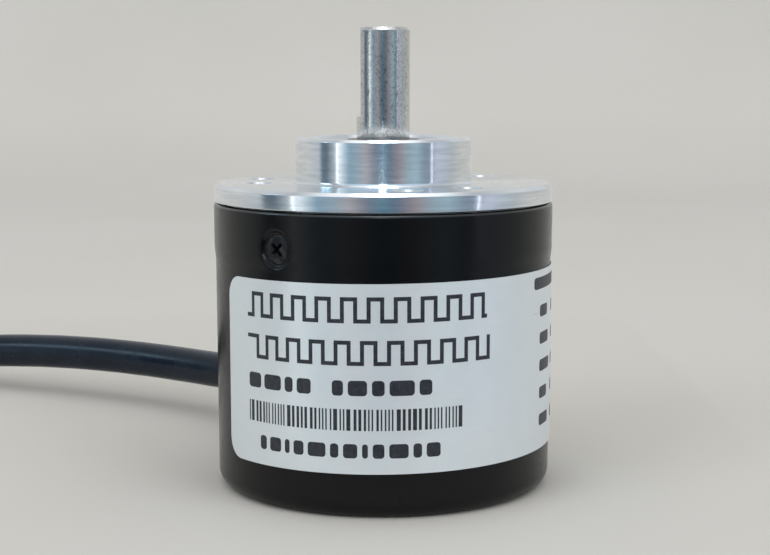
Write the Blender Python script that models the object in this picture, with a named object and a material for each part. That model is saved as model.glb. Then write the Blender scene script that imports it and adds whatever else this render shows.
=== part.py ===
"""Optical rotary encoder: a 38 mm body with a 6 mm solid shaft, a clamping flange
and a side cable. Sizes are in millimetres and turned into metres by MM.

Frame: +Z runs along the shaft towards its free end, which is the front. The origin
is the centre of the rear cover's closed end, where the encoder stands on a bench.
Azimuths are in degrees from +X towards +Y, and -Y is the side with the rating label.
"""

import math

import bmesh
import bpy
from mathutils import Matrix, Vector

MM = 0.001
GAP = 0.05                           # clearance between neighbouring parts

# Facets round a turned piece
ROUND = 40                           # housing, cover, board, disc
MEDIUM = 20                          # bearing rings, retaining ring, hub
SMALL = 16                           # grommet, capacitor, LED
TINY = 12                            # screws and their holes

# Housing
BODY_R = 19.0                        # clamping flange
FLANGE_Z0, FLANGE_Z1 = 32.0, 34.0
BOSS_R, BOSS_Z1 = 10.0, 39.0
SPIGOT_R, SPIGOT_Z0 = 17.9, 25.0
NOSE_R, NOSE_Z0 = 9.2, 23.0          # inner nose round the rear bearing
SEAT_R = 7.55                        # bearing seats
M3_R_MINOR, M3_DEPTH = 1.25, 6.0
M3_OUTER = (15.0, (40, 160, 280))    # pitch radius, azimuths
M3_INNER = (14.0, (70, 190, 310))

# Rear cover, stretched over the spigot and so widest at its lip
COVER_R, COVER_LIP_R, COVER_FOOT_R = 18.9, 19.06, 18.84
COVER_IN_R, COVER_TOP, COVER_FLOOR = 18.0, 31.85, 1.2
COVER_CORNER, COVER_IN_CORNER, COVER_LIP_ROUND = 1.75, 2.0, 0.4
SCREW_Z, SCREW_AZ = 27.9, (233.8, 357.0, 115.0)
CROSS_X, CROSS_Y, CROSS_FLOOR = 0.85, 0.19, 17.97  # half length and half width of a slot, floor radius

# Label, a film wrapped on the cover's facets
LABEL_R, LABEL_T = 18.955, 0.085
LABEL_AZ0, LABEL_AZ1 = 209.2, 389.0
LABEL_Z0, LABEL_Z1, LABEL_CORNER = 4.96, 24.79, 2.2
LABEL_TILT = 0.17                    # rise per radian

# Shaft and bearings
SHAFT_R, SHAFT_Z0, SHAFT_Z1 = 3.0, 18.35, 51.2
FLAT_X, FLAT_Z0 = -2.5, 41.3
GROOVE_Z0, GROOVE_Z1, GROOVE_R = 38.2, 38.9, 2.75  # retaining ring groove
BRG_OUT_R, BRG_IN_R, BRG_W = SEAT_R - GAP, SHAFT_R + GAP, 5.0
FRONT_BRG_Z, REAR_BRG_Z = 33.1, 23.4
BALL_R, PITCH_R, BALLS = 1.19, 5.25, 7
SHOULDER_R, SHOULDER_Z0, SHOULDER_Z1 = 6.6, 29.1, FRONT_BRG_Z - GAP
WASHER_R0, WASHER_R1, WASHER_HALF = 6.75, 7.4, 0.09
WASHER_WAVES, WASHER_LIFT, WASHER_STEPS = 3, 0.19, 24

# Code disc and its hub
DISC_R, TRACK_R, DISC_Z0, DISC_T = 12.8, 11.5, 17.9, 0.3
DISC_Z1 = DISC_Z0 + DISC_T
SLOTS, SLOT_REACH = 24, 0.8          # count, half radial length
SLOT_HALF_IN, SLOT_HALF_OUT = 0.7, 0.8
HUB_SCREW_Z = 20.8

# Board and what it carries
BOARD_R, BOARD_Z0, BOARD_Z1 = 17.2, 14.0, 15.6
CARRY_Z = BOARD_Z1 + GAP             # underside of parts on the board's upper face
POST_R, POST_AZ = 15.7, (90, 210, 330)
OPTICS_AZ = 270
HOLDER_X0, HOLDER_Z0, HOLDER_Z1 = 9.45, 19.0, SPIGOT_Z0 - GAP
HOLDER_SCREW, HOLDER_PEG = (13.2, 4.2), (13.2, -4.2)  # along and across the optics azimuth
LED_LEGS, LED_LEG_R = (1.27, -1.27), 16.2
CAPACITOR_R, CAPACITOR_AZ = 10.4, 15

# Cable and its conductors
CABLE_AZ, CABLE_Z, CABLE_R, CABLE_BORE = 119.0, 6.3, 2.4, 1.72
CABLE_IN, CABLE_LEAD, CABLE_STRAIGHT = 12.4, 18.0, 24.0  # radii: inner end, curve guide, end of straight
SLEEVE_R = 2.47                      # bore of grommet and tie
# Centre line (x, y, z) past the straight run: it bends aside, sags and rests on the bench
CABLE_PATH = (
    (-17.35, 29.2, 6.12), (-24.0, 35.6, 5.92), (-33.3, 42.3, 5.95), (-42.8, 47.35, 5.97),
    (-52.5, 51.8, 5.62), (-62.3, 55.5, 4.85), (-71.4, 58.85, 3.35), (-80.0, 62.0, 2.46),
)
PLUG_U, PLUG_Z0, HEADER_Z0 = -0.5, 6.9, 8.2  # PLUG_U is the centre, along the cable azimuth
WIRE_R, DRAIN_R = 0.43, 0.32
WIRE_RING, WIRE_PITCH = 1.02, 2.0    # bundle radius in the jacket, spacing in the plug
WIRE_FREE, WIRE_REST_Z, FREE_SPREAD = 12.0, 0.5, 0.95
# Conductors from plug to jacket: distance along the cable azimuth, height,
# share of the way from bundle (0) to plug spacing (1)
WIRE_INSIDE = (
    (PLUG_U, 8.2, 1.0), (PLUG_U, 7.2, 1.0), (-0.4, 5.9, 1.0), (-0.05, 5.0, 1.0), (1.0, 4.2, 1.0),
    (2.6, 4.1, 0.95), (4.8, 4.5, 0.80), (7.0, 5.2, 0.55), (9.2, 5.9, 0.30), (11.2, 6.25, 0.10),
)


# ---------------------------------------------------------------- placing
def upright(az, r=0.0, across=0.0):
    """Local +X points outwards at the azimuth, origin r out and across to its left."""
    turn = Matrix.Rotation(math.radians(az), 4, "Z")
    return turn @ Matrix.Translation((r * MM, across * MM, 0))


def around(r, azimuths):
    return [upright(az, r) for az in azimuths]


def radial(az, z, turn=0.0):
    """Local +Z points outwards at the azimuth, local +Y runs round the body."""
    return (
        Matrix.Translation((0, 0, z * MM))
        @ Matrix.Rotation(math.radians(az), 4, "Z")
        @ Matrix.Rotation(math.pi / 2, 4, "Y")
        @ Matrix.Rotation(turn, 4, "Z")
    )


def radial_euler(az):
    return (0, math.pi / 2, math.radians(az))


def upright_euler(az):
    return (0, 0, math.radians(az))


def spot(az, r, across=0.0):
    """Point in mm, at z = 0, where upright() puts its origin."""
    return Matrix.Rotation(math.radians(az), 3, "Z") @ Vector((r, across, 0))


# ---------------------------------------------------------------- outlines
def polygon(radius, count, turn=0.0):
    angles = [turn + 2 * math.pi * i / count for i in range(count)]
    return [(radius * math.cos(a), radius * math.sin(a)) for a in angles]


def rod(radius, z0, z1):
    return [(0, z0), (radius, z0), (radius, z1), (0, z1)]


def arc(centre_x, centre_y, radius, start, end, count):
    """Points of a fillet in the outline's plane, ends included."""
    angles = [math.radians(start + (end - start) * i / count) for i in range(count + 1)]
    return [(centre_x + radius * math.cos(a), centre_y + radius * math.sin(a)) for a in angles]


# ---------------------------------------------------------------- solids
def added(bm, before):
    return [v for v in bm.verts if v not in before]


def lathe(outline, steps, *places, into=None):
    """Closed (radius, height) outline turned about Z, once for each place."""
    bm = bmesh.new() if into is None else into
    for place in places or (Matrix(),):
        before = set(bm.verts)
        ring = [bm.verts.new((r * MM, 0, z * MM)) for r, z in outline]
        edges = []
        for i, vert in enumerate(ring):
            j = (i + 1) % len(ring)
            # An edge lying on the axis would sweep no surface
            if outline[i][0] > 0 or outline[j][0] > 0:
                edges.append(bm.edges.new((vert, ring[j])))
        bmesh.ops.spin(
            bm, geom=ring + edges, cent=(0, 0, 0), axis=(0, 0, 1),
            angle=2 * math.pi, steps=steps, use_merge=True,
        )
        bmesh.ops.remove_doubles(bm, verts=added(bm, before), dist=1e-6)
        bmesh.ops.transform(bm, matrix=place, verts=added(bm, before))
    return bm


def box(low, high, *places):
    """Box between two corners, once for each place."""
    bm = bmesh.new()
    low, high = Vector(low) * MM, Vector(high) * MM
    shape = Matrix.Translation((low + high) / 2) @ Matrix.Diagonal((*(high - low), 1.0))
    for place in places or (Matrix(),):
        bmesh.ops.create_cube(bm, size=1.0, matrix=place @ shape)
    return bm


def prism(points, z0, z1, *places):
    """Polygon raised from z0 to z1, once for each place."""
    bm = bmesh.new()
    for place in places or (Matrix(),):
        before = set(bm.verts)
        face = bm.faces.new([bm.verts.new((x * MM, y * MM, z0 * MM)) for x, y in points])
        grown = bmesh.ops.extrude_face_region(bm, geom=[face])
        top = [v for v in grown["geom"] if isinstance(v, bmesh.types.BMVert)]
        bmesh.ops.translate(bm, verts=top, vec=(0, 0, (z1 - z0) * MM))
        bmesh.ops.transform(bm, matrix=place, verts=added(bm, before))
    return bm


def sweep(stations, radius, sides, bore=None):
    """Round rod or tube through stations of (centre, side, up) in mm, ends closed."""
    bm = bmesh.new()

    def skin(r):
        angles = [2 * math.pi * k / sides for k in range(sides)]
        rings = [
            [
                bm.verts.new((centre + side * r * math.cos(a) + up * r * math.sin(a)) * MM)
                for a in angles
            ]
            for centre, side, up in stations
        ]
        for low, high in zip(rings, rings[1:]):
            for k in range(sides):
                j = (k + 1) % sides
                bm.faces.new((low[k], low[j], high[j], high[k]))
        return rings

    outer = skin(radius)
    if bore is None:
        bm.faces.new(outer[0])
        bm.faces.new(outer[-1])
        return bm
    inner = skin(bore)
    for end in (0, -1):
        for k in range(sides):
            j = (k + 1) % sides
            bm.faces.new((outer[end][k], outer[end][j], inner[end][j], inner[end][k]))
    return bm


# ---------------------------------------------------------------- objects
def link(obj):
    bpy.context.scene.collection.objects.link(obj)


def finish(name, bm, mat=None, location=(0, 0, 0), rotation=(0, 0, 0), parent=None, sharp=35):
    """Turn a bmesh into a named object, faces outwards, smooth where it is round."""
    bmesh.ops.recalc_face_normals(bm, faces=bm.faces)
    if bm.calc_volume(signed=True) < 0:
        bmesh.ops.reverse_faces(bm, faces=bm.faces)
    mesh = bpy.data.meshes.new(name)
    bm.to_mesh(mesh)
    bm.free()
    mesh.shade_smooth()
    mesh.set_sharp_from_angle(angle=math.radians(sharp))
    if mat is not None:
        mesh.materials.append(mat)
    obj = bpy.data.objects.new(name, mesh)
    link(obj)
    obj.location = Vector(location) * MM
    obj.rotation_euler = rotation
    obj.parent = parent
    return obj


def combine(obj, name, bm, operation):
    """Boolean with a helper object, placed in world axes and not rendered."""
    helper = finish(name, bm)
    helper.hide_render = True
    helper.display_type = "WIRE"
    mod = obj.modifiers.new(name, "BOOLEAN")
    mod.operation = operation
    mod.solver = "EXACT"
    mod.object = helper


def cut(obj, feature, bm):
    combine(obj, f"cut_{feature}", bm, "DIFFERENCE")


def join(obj, feature, bm):
    combine(obj, f"join_{feature}", bm, "UNION")


def empty(name, z):
    obj = bpy.data.objects.new(name, None)
    link(obj)
    obj.location = (0, 0, z * MM)
    return obj


def material(name, colour, roughness, metallic=0.0):
    mat = bpy.data.materials.new(name)
    mat.use_nodes = True
    shader = mat.node_tree.nodes["Principled BSDF"]
    shader.inputs["Base Color"].default_value = (*colour, 1.0)
    shader.inputs["Roughness"].default_value = roughness
    shader.inputs["Metallic"].default_value = metallic
    return mat


for old in list(bpy.data.objects):
    bpy.data.objects.remove(old, do_unlink=True)

# ---------------------------------------------------------------- materials
# Metals
ALU = material("turned_aluminium", (0.80, 0.81, 0.83), roughness=0.28, metallic=1.0)
STEEL = material("ground_steel", (0.62, 0.61, 0.59), roughness=0.22, metallic=1.0)
BEARING = material("bearing_steel", (0.66, 0.66, 0.66), roughness=0.2, metallic=1.0)
SPRING = material("spring_steel", (0.35, 0.35, 0.36), roughness=0.35, metallic=1.0)
BLACK_SCREW = material("black_zinc", (0.03, 0.03, 0.032), roughness=0.35, metallic=0.9)
BRASS = material("brass", (0.80, 0.60, 0.25), roughness=0.3, metallic=1.0)
DISC = material("etched_steel", (0.55, 0.55, 0.55), roughness=0.25, metallic=1.0)
TINNED = material("tinned_copper", (0.70, 0.70, 0.68), roughness=0.3, metallic=1.0)
# Paint, film and board
BLACK_PAINT = material("black_paint", (0.012, 0.012, 0.013), roughness=0.42)
LABEL = material("silver_film", (0.70, 0.74, 0.78), roughness=0.35, metallic=0.3)
BOARD = material("green_board", (0.02, 0.16, 0.06), roughness=0.4)
# Plastics and rubber
RUBBER = material("black_rubber", (0.02, 0.02, 0.02), roughness=0.65)
NYLON = material("nylon", (0.78, 0.76, 0.68), roughness=0.5)
CAGE = material("cage_nylon", (0.65, 0.60, 0.45), roughness=0.5)
MOULD = material("black_moulding", (0.02, 0.02, 0.022), roughness=0.55)
CHIP = material("chip_epoxy", (0.03, 0.03, 0.03), roughness=0.6)
GLASSY = material("clear_epoxy", (0.75, 0.80, 0.85), roughness=0.1)
PVC = material("black_pvc", (0.015, 0.015, 0.016), roughness=0.5)
RED_PVC = material("red_pvc", (0.55, 0.02, 0.02), roughness=0.45)
GREEN_PVC = material("green_pvc", (0.02, 0.28, 0.06), roughness=0.45)
WHITE_PVC = material("white_pvc", (0.80, 0.80, 0.78), roughness=0.45)

# Parent of everything that turns with the shaft
SHAFT_AXIS = empty("shaft_axis", 0.0)


# ---------------------------------------------------------------- housing and cover
def flange_housing():
    housing = finish("flange_housing", lathe([
        (SEAT_R, BOSS_Z1 - 0.62), (SEAT_R + 0.62, BOSS_Z1),
        (BOSS_R - 0.3, BOSS_Z1), (BOSS_R, BOSS_Z1 - 0.3),
        (BOSS_R, FLANGE_Z1 + 0.35), (BOSS_R + 0.1, FLANGE_Z1 + 0.1), (BOSS_R + 0.35, FLANGE_Z1),
        (BODY_R - 0.38, FLANGE_Z1), (BODY_R, FLANGE_Z1 - 0.38),
        (BODY_R, FLANGE_Z0 + 0.12), (BODY_R - 0.12, FLANGE_Z0),
        (SPIGOT_R, FLANGE_Z0), (SPIGOT_R, SPIGOT_Z0 + 0.4), (SPIGOT_R - 0.4, SPIGOT_Z0),
        (NOSE_R, SPIGOT_Z0), (NOSE_R, NOSE_Z0), (SEAT_R + 0.3, NOSE_Z0), (SEAT_R, NOSE_Z0 + 0.3),
        (SEAT_R, SHOULDER_Z0), (SHOULDER_R, SHOULDER_Z0),
        (SHOULDER_R, SHOULDER_Z1), (SEAT_R, SHOULDER_Z1),
    ], ROUND), ALU)
    # M3 holes in the flange, with a drill point and a countersunk mouth
    holes = lathe([
        (0, FLANGE_Z1 - M3_DEPTH - 0.7), (M3_R_MINOR, FLANGE_Z1 - M3_DEPTH),
        (M3_R_MINOR, FLANGE_Z1 - 0.4), (1.65, FLANGE_Z1), (1.65, FLANGE_Z1 + 1), (0, FLANGE_Z1 + 1),
    ], TINY, *around(*M3_OUTER), *around(*M3_INNER))
    # Board posts, cover screws, then the LED holder's screw and peg
    for outline, places in (
        (rod(1.05, SPIGOT_Z0 - 1, SPIGOT_Z0 + 4.0), around(POST_R, POST_AZ)),
        (rod(0.82, 13.6, SPIGOT_R + 1), [radial(az, SCREW_Z) for az in SCREW_AZ]),
        (rod(0.85, SPIGOT_Z0 - 1, SPIGOT_Z0 + 2.9), [upright(OPTICS_AZ, *HOLDER_SCREW)]),
        (rod(0.8, SPIGOT_Z0 - 1, SPIGOT_Z0 + 1.6), [upright(OPTICS_AZ, *HOLDER_PEG)]),
    ):
        lathe(outline, TINY, *places, into=holes)
    cut(housing, "housing_holes", holes)


def rear_cover():
    foot = COVER_FOOT_R - COVER_CORNER
    lip = COVER_LIP_ROUND
    outline = [(0, 0), (foot, 0)]
    outline += arc(foot, COVER_CORNER, COVER_CORNER, -90, 0, 6)[1:]
    outline += [(COVER_R, 25.3), (COVER_LIP_R - 0.02, 27.0), (COVER_LIP_R, COVER_TOP - lip)]
    outline += arc(COVER_LIP_R - lip, COVER_TOP - lip, lip, 0, 90, 3)[1:]
    outline += [(COVER_IN_R + 0.1, COVER_TOP), (COVER_IN_R, COVER_TOP - 0.1)]
    outline += arc(COVER_IN_R - COVER_IN_CORNER, COVER_FLOOR + COVER_IN_CORNER,
                   COVER_IN_CORNER, 0, -90, 4)
    outline += [(0, COVER_FLOOR)]
    cover = finish("rear_cover", lathe(outline, ROUND), BLACK_PAINT)
    # Dimpled screw holes and the cable hole
    holes = lathe([
        (0, 17.0), (1.1, 17.0), (1.1, 18.09), (1.68, 18.58),
        (1.9, 18.71), (2.3, 19.0), (2.3, 20.5), (0, 20.5),
    ], SMALL, *[radial(az, SCREW_Z) for az in SCREW_AZ])
    lathe(rod(3.15, 16.0, 21.0), SMALL, radial(CABLE_AZ, CABLE_Z), into=holes)
    cut(cover, "cover_holes", holes)


def cover_screws():
    """Countersunk screws through the cover's side, each with a cross recess."""
    for number, az in enumerate(SCREW_AZ, 1):
        screw = finish(f"cover_screw_{number}", lathe([
            (0, 14.2), (0.5, 14.2), (0.72, 14.45), (0.72, 17.9), (0.95, 18.05),
            (1.5, 18.51), (1.52, 18.57), (1.1, 18.65), (0, 18.69),
        ], TINY), BLACK_SCREW, (0, 0, SCREW_Z), radial_euler(az))
        place = radial(az, SCREW_Z, math.radians(45))
        for letter, x, y in (("a", CROSS_X, CROSS_Y), ("b", CROSS_Y, CROSS_X)):
            cut(screw, f"cross_{number}{letter}",
                box((-x, -y, CROSS_FLOOR), (x, y, 19.2), place))


def rating_label():
    """Rounded sheet drawn flat, creased at the cover's facet edges, wrapped and thickened."""
    start, end = math.radians(LABEL_AZ0), math.radians(LABEL_AZ1)
    span = (end - start) * LABEL_R
    left, right = LABEL_CORNER, span - LABEL_CORNER
    low, high = LABEL_Z0 + LABEL_CORNER, LABEL_Z1 - LABEL_CORNER
    sheet = []
    for x, y, turn in ((right, high, 0), (left, high, 90), (left, low, 180), (right, low, 270)):
        sheet += arc(x, y, LABEL_CORNER, turn, turn + 90, 5)
    bm = bmesh.new()
    bm.faces.new([bm.verts.new((x * MM, y * MM, 0)) for x, y in sheet])
    step = 2 * math.pi / ROUND
    for crease in range(math.ceil(start / step), math.ceil(end / step)):
        bmesh.ops.bisect_plane(
            bm, geom=bm.verts[:] + bm.edges[:] + bm.faces[:],
            plane_co=((crease * step - start) * LABEL_R * MM, 0, 0), plane_no=(1, 0, 0), dist=1e-8,
        )

    def corner(k):
        return Vector((math.cos(k * step), math.sin(k * step)))

    for vert in bm.verts:
        angle = start + vert.co.x / (LABEL_R * MM)
        height = vert.co.y + LABEL_TILT * MM * (angle - 1.5 * math.pi)
        # The small offset keeps a vertex on a crease in the facet it starts
        facet = math.floor(angle / step + 1e-6)
        part = max(angle / step - facet, 0)
        flat = corner(facet).lerp(corner(facet + 1), part) * LABEL_R * MM
        vert.co = (flat.x, flat.y, height)
    grown = bmesh.ops.extrude_face_region(bm, geom=bm.faces[:])
    for vert in (v for v in grown["geom"] if isinstance(v, bmesh.types.BMVert)):
        vert.co.xy *= (LABEL_R + LABEL_T) / LABEL_R
    finish("rating_label", bm, LABEL)


# ---------------------------------------------------------------- cable
UP = Vector((0, 0, 1))
OUT = Vector((math.cos(math.radians(CABLE_AZ)), math.sin(math.radians(CABLE_AZ)), 0))
SIDE = Vector((-OUT.y, OUT.x, 0))


def smooth_path(points, per):
    """Catmull-Rom curve through the points, per steps to a span."""
    found = []
    last = len(points) - 1
    for i in range(last):
        p0, p1, p2, p3 = (points[min(max(i + k, 0), last)] for k in (-1, 0, 1, 2))
        for t in (k / per for k in range(per)):
            found.append(0.5 * (
                (2 * p1) + (p2 - p0) * t + (2 * p0 - 5 * p1 + 4 * p2 - p3) * t * t
                + (3 * p1 - p0 - 3 * p2 + p3) * t ** 3
            ))
    return found + [points[-1]]


def stations_of(centres):
    """Frames along a path: side stays near SIDE, up completes it and points down."""
    found = []
    for i, centre in enumerate(centres):
        along = centres[min(i + 1, len(centres) - 1)] - centres[max(i - 1, 0)]
        along.normalize()
        across = (SIDE - along * SIDE.dot(along)).normalized()
        found.append((centre, across, across.cross(along).normalized()))
    return found


def jacket_stations():
    inner_end, guide, straight_end = (
        OUT * r + UP * CABLE_Z for r in (CABLE_IN, CABLE_LEAD, CABLE_STRAIGHT)
    )
    knots = [guide, straight_end] + [Vector(point) for point in CABLE_PATH]
    # The guide only steers the curve, so its own span is dropped
    line = [inner_end] + smooth_path(knots, 2)[2:]
    stations = stations_of(line)
    # Both ends of the straight run stay square to it
    stations[:2] = [(centre, SIDE, SIDE.cross(OUT)) for centre in line[:2]]
    return stations


def conductors(jacket):
    """Bundle inside the jacket, fanned out to the plug and at the free end."""
    end = jacket[-1][0]
    end_out = end - jacket[-2][0]
    end_out.z = 0
    end_out.normalize()
    end_side = Vector((-end_out.y, end_out.x, 0))
    # Name, angle in the bundle, radius, material, in the order of the plug's holes
    for order, (name, angle, radius, mat) in enumerate((
        ("wire_red", 162.0, WIRE_R, RED_PVC),
        ("wire_black", 234.0, WIRE_R, PVC),
        ("drain_wire", 90.0, DRAIN_R, TINNED),
        ("wire_green", 306.0, WIRE_R, GREEN_PVC),
        ("wire_white", 18.0, WIRE_R, WHITE_PVC),
    )):
        ring_side = WIRE_RING * math.cos(math.radians(angle))
        ring_up = WIRE_RING * math.sin(math.radians(angle))
        lane = (order - 2) * WIRE_PITCH
        centres = [
            OUT * u + UP * (z + ring_up * (1 - fan)) + SIDE * (ring_side + (lane - ring_side) * fan)
            for u, z, fan in WIRE_INSIDE
        ]
        centres += [centre + side * ring_side - up * ring_up for centre, side, up in jacket]
        for t in (0.25, 0.5, 0.75, 1.0):
            ease = t * t * (3 - 2 * t)
            spread = ring_side + (lane * FREE_SPREAD - ring_side) * ease
            lift = ring_up * (1 - ease) + (WIRE_REST_Z - end.z) * ease
            centres.append(end + end_out * (WIRE_FREE * t) + end_side * spread + UP * lift)
        finish(name, sweep(stations_of(centres), radius, 6), mat)


def cable():
    jacket = jacket_stations()
    finish("cable_jacket", sweep(jacket, CABLE_R, 12, CABLE_BORE), PVC)
    conductors(jacket)


def cable_grommet():
    finish("cable_grommet", lathe([
        (SLEEVE_R, 16.0), (3.8, 16.0), (3.95, 16.15), (3.95, 17.35), (3.8, 17.5),
        (3.05, 17.5), (3.05, 19.1), (3.7, 19.1), (3.8, 19.25), (3.8, 20.2),
        (3.55, 20.6), (3.1, 23.2), (2.85, 23.4), (SLEEVE_R, 23.4),
    ], SMALL), RUBBER, (0, 0, CABLE_Z), radial_euler(CABLE_AZ))


def cable_tie():
    band = [(SLEEVE_R, 13.7), (3.15, 13.7), (3.15, 15.1), (SLEEVE_R, 15.1)]
    tie = finish("cable_tie", lathe(band, SMALL), NYLON, (0, 0, CABLE_Z), radial_euler(CABLE_AZ))
    join(tie, "tie_head", box((2.85, -1.5, 13.3), (4.5, 1.5, 15.5), radial(CABLE_AZ, CABLE_Z)))


# ---------------------------------------------------------------- board
def encoder_board():
    board = finish("encoder_board", lathe(rod(BOARD_R, BOARD_Z0, BOARD_Z1), ROUND), BOARD)
    low, high = BOARD_Z0 - 1, BOARD_Z1 + 1
    holes = lathe(rod(1.1, low, high), TINY, *around(POST_R, POST_AZ))
    legs = [upright(OPTICS_AZ, LED_LEG_R, y) for y in LED_LEGS]
    lathe(rod(0.45, low, high), 8, *legs, into=holes)
    cut(board, "board_holes", holes)


def board_posts():
    """Hexagonal posts between board and housing, each with a screw from below."""
    for number, az in enumerate(POST_AZ, 1):
        where = spot(az, POST_R)
        turn = upright_euler(az)
        place = Matrix.Translation(where * MM)
        hexagon = prism(polygon(2.02, 6, math.pi / 6), CARRY_Z, SPIGOT_Z0 - GAP)
        post = finish(f"board_post_{number}", hexagon, BRASS, where, turn)
        stud = rod(0.96, SPIGOT_Z0 - 1.0, SPIGOT_Z0 + 3.6)
        join(post, f"stud_{number}", lathe(stud, TINY, place))
        thread = rod(0.88, BOARD_Z1 - 1, BOARD_Z1 + 4.6)
        cut(post, f"post_thread_{number}", lathe(thread, TINY, place))
        screw = finish(f"board_screw_{number}", lathe([
            (0, 12.85), (1.5, 12.85), (1.9, 13.2), (1.9, 13.95), (0.78, 13.95),
            (0.78, 19.2), (0.6, 19.4), (0, 19.4),
        ], TINY), BLACK_SCREW, where, turn)
        cut(screw, f"board_slot_{number}", box((-1.2, -0.22, 12.0), (1.2, 0.22, 13.4), place))


def cable_block(x, y, z0, z1, *places):
    """Box of half sizes x and y about the plug's centre."""
    return box((PLUG_U - x, -y, z0), (PLUG_U + x, y, z1), *places)


def wire_header():
    """Header on the board's underside, open below."""
    shell = cable_block(2.9, 6.3, HEADER_Z0, BOARD_Z0 - GAP)
    header = finish("wire_header", shell, NYLON, rotation=upright_euler(CABLE_AZ))
    cut(header, "header_cavity", cable_block(2.2, 5.6, 7.0, BOARD_Z0 - 1.1, upright(CABLE_AZ)))


def wire_plug():
    """Plug pushed into the header from below."""
    block = cable_block(2.1, 5.5, PLUG_Z0, BOARD_Z0 - 1.5)
    plug = finish("wire_plug", block, NYLON, rotation=upright_euler(CABLE_AZ))
    places = [upright(CABLE_AZ, PLUG_U, (order - 2) * WIRE_PITCH) for order in range(5)]
    cut(plug, "plug_wires", lathe(rod(0.62, PLUG_Z0 - 1, 9.4), TINY, *places))


def chip(name, az, r, size, leads, pitch, reach):
    """Moulded body centred on local +Y, with a row of leads along two sides."""
    width, depth, height = size
    body = finish(name, box(
        (-width / 2, -depth / 2, CARRY_Z + 0.12), (width / 2, depth / 2, CARRY_Z + height),
        upright(az, 0, r),
    ), CHIP)
    root = 0.3                       # length of lead inside the body
    half = (reach + root) / 2
    middle = depth / 2 + (reach - root) / 2
    places = [
        upright(az, (i - (leads - 1) / 2) * pitch, r + sign * middle)
        for i in range(leads) for sign in (1, -1)
    ]
    join(body, f"{name}_leads", box((-0.2, -half, CARRY_Z), (0.2, half, CARRY_Z + 0.45), *places))


def smoothing_capacitor():
    """Can hanging from the board's underside, with a groove round it."""
    top = BOARD_Z0 - GAP
    finish("smoothing_capacitor", lathe([
        (0, 8.6), (1.8, 8.6), (2.0, 8.8), (2.0, 12.6), (1.85, 12.75),
        (1.85, 12.95), (2.0, 13.1), (2.0, top), (0, top),
    ], SMALL), ALU, spot(CAPACITOR_AZ, CAPACITOR_R))


# ---------------------------------------------------------------- optics
def led_holder():
    """Moulding above the disc, pegged and screwed to the housing."""
    turn = upright_euler(OPTICS_AZ)
    place = upright(OPTICS_AZ)
    body = box((HOLDER_X0, -5.8, HOLDER_Z0 + 1.4), (15.4, 5.8, HOLDER_Z1))
    holder = finish("led_holder", body, MOULD, rotation=turn)
    snout = box((HOLDER_X0, -2.3, HOLDER_Z0), (13.6, 2.3, HOLDER_Z0 + 2.0), place)
    join(holder, "holder_snout", snout)
    peg = rod(0.7, HOLDER_Z1 - 1.0, HOLDER_Z1 + 1.4)
    join(holder, "holder_peg", lathe(peg, TINY, upright(OPTICS_AZ, *HOLDER_PEG)))
    led_bore = [(0, 18), (1.58, 18), (1.58, 23.2), (1.95, 23.2), (1.95, 26), (0, 26)]
    bores = lathe(led_bore, SMALL, upright(OPTICS_AZ, TRACK_R))
    lathe(rod(1.1, 17, 26), TINY, upright(OPTICS_AZ, *HOLDER_SCREW), into=bores)
    cut(holder, "holder_bores", bores)
    places = [upright(OPTICS_AZ, 0, y) for y in LED_LEGS]
    cut(holder, "holder_leg_grooves", box((TRACK_R, -0.35, 23.9), (18, 0.35, 26), *places))


def infrared_led():
    """LED facing down at the track, legs bent outwards and down to the board."""
    outline = [(0, 19.3)] + arc(0, 20.8, 1.5, -70, 0, 4)
    outline += [(1.5, 23.3), (1.85, 23.3), (1.85, 24.2), (0, 24.2)]
    led = finish("infrared_led", lathe(outline, SMALL), GLASSY,
                 spot(OPTICS_AZ, TRACK_R), upright_euler(OPTICS_AZ))
    for name, y in zip(("led_anode", "led_cathode"), LED_LEGS):
        place = upright(OPTICS_AZ, 0, y)
        join(led, name, box((TRACK_R + 0.1, -0.19, 24.05), (LED_LEG_R + 0.1, 0.19, 24.5), place))
        leg = box((LED_LEG_R - 0.22, -0.22, 14.4), (LED_LEG_R + 0.22, 0.22, 24.4), place)
        join(led, f"{name}_leg", leg)


def led_holder_screw():
    finish("led_holder_screw", lathe([
        (0, 19.1), (1.7, 19.1), (1.7, 20.3), (0.8, 20.35), (0.78, 27.2), (0, 27.2),
    ], TINY), BLACK_SCREW, spot(OPTICS_AZ, *HOLDER_SCREW))


def detector_and_mask():
    """Sensor under the disc, with the mask just above it."""
    turn = upright_euler(OPTICS_AZ)
    sensor = box((8.6, -3.6, CARRY_Z), (14.0, 3.6, 17.15))
    finish("photo_detector", sensor, CHIP, rotation=turn)
    finish("phase_mask", box((9.4, -2.8, 17.22), (13.4, 2.8, 17.55)), GLASSY, rotation=turn)


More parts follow.
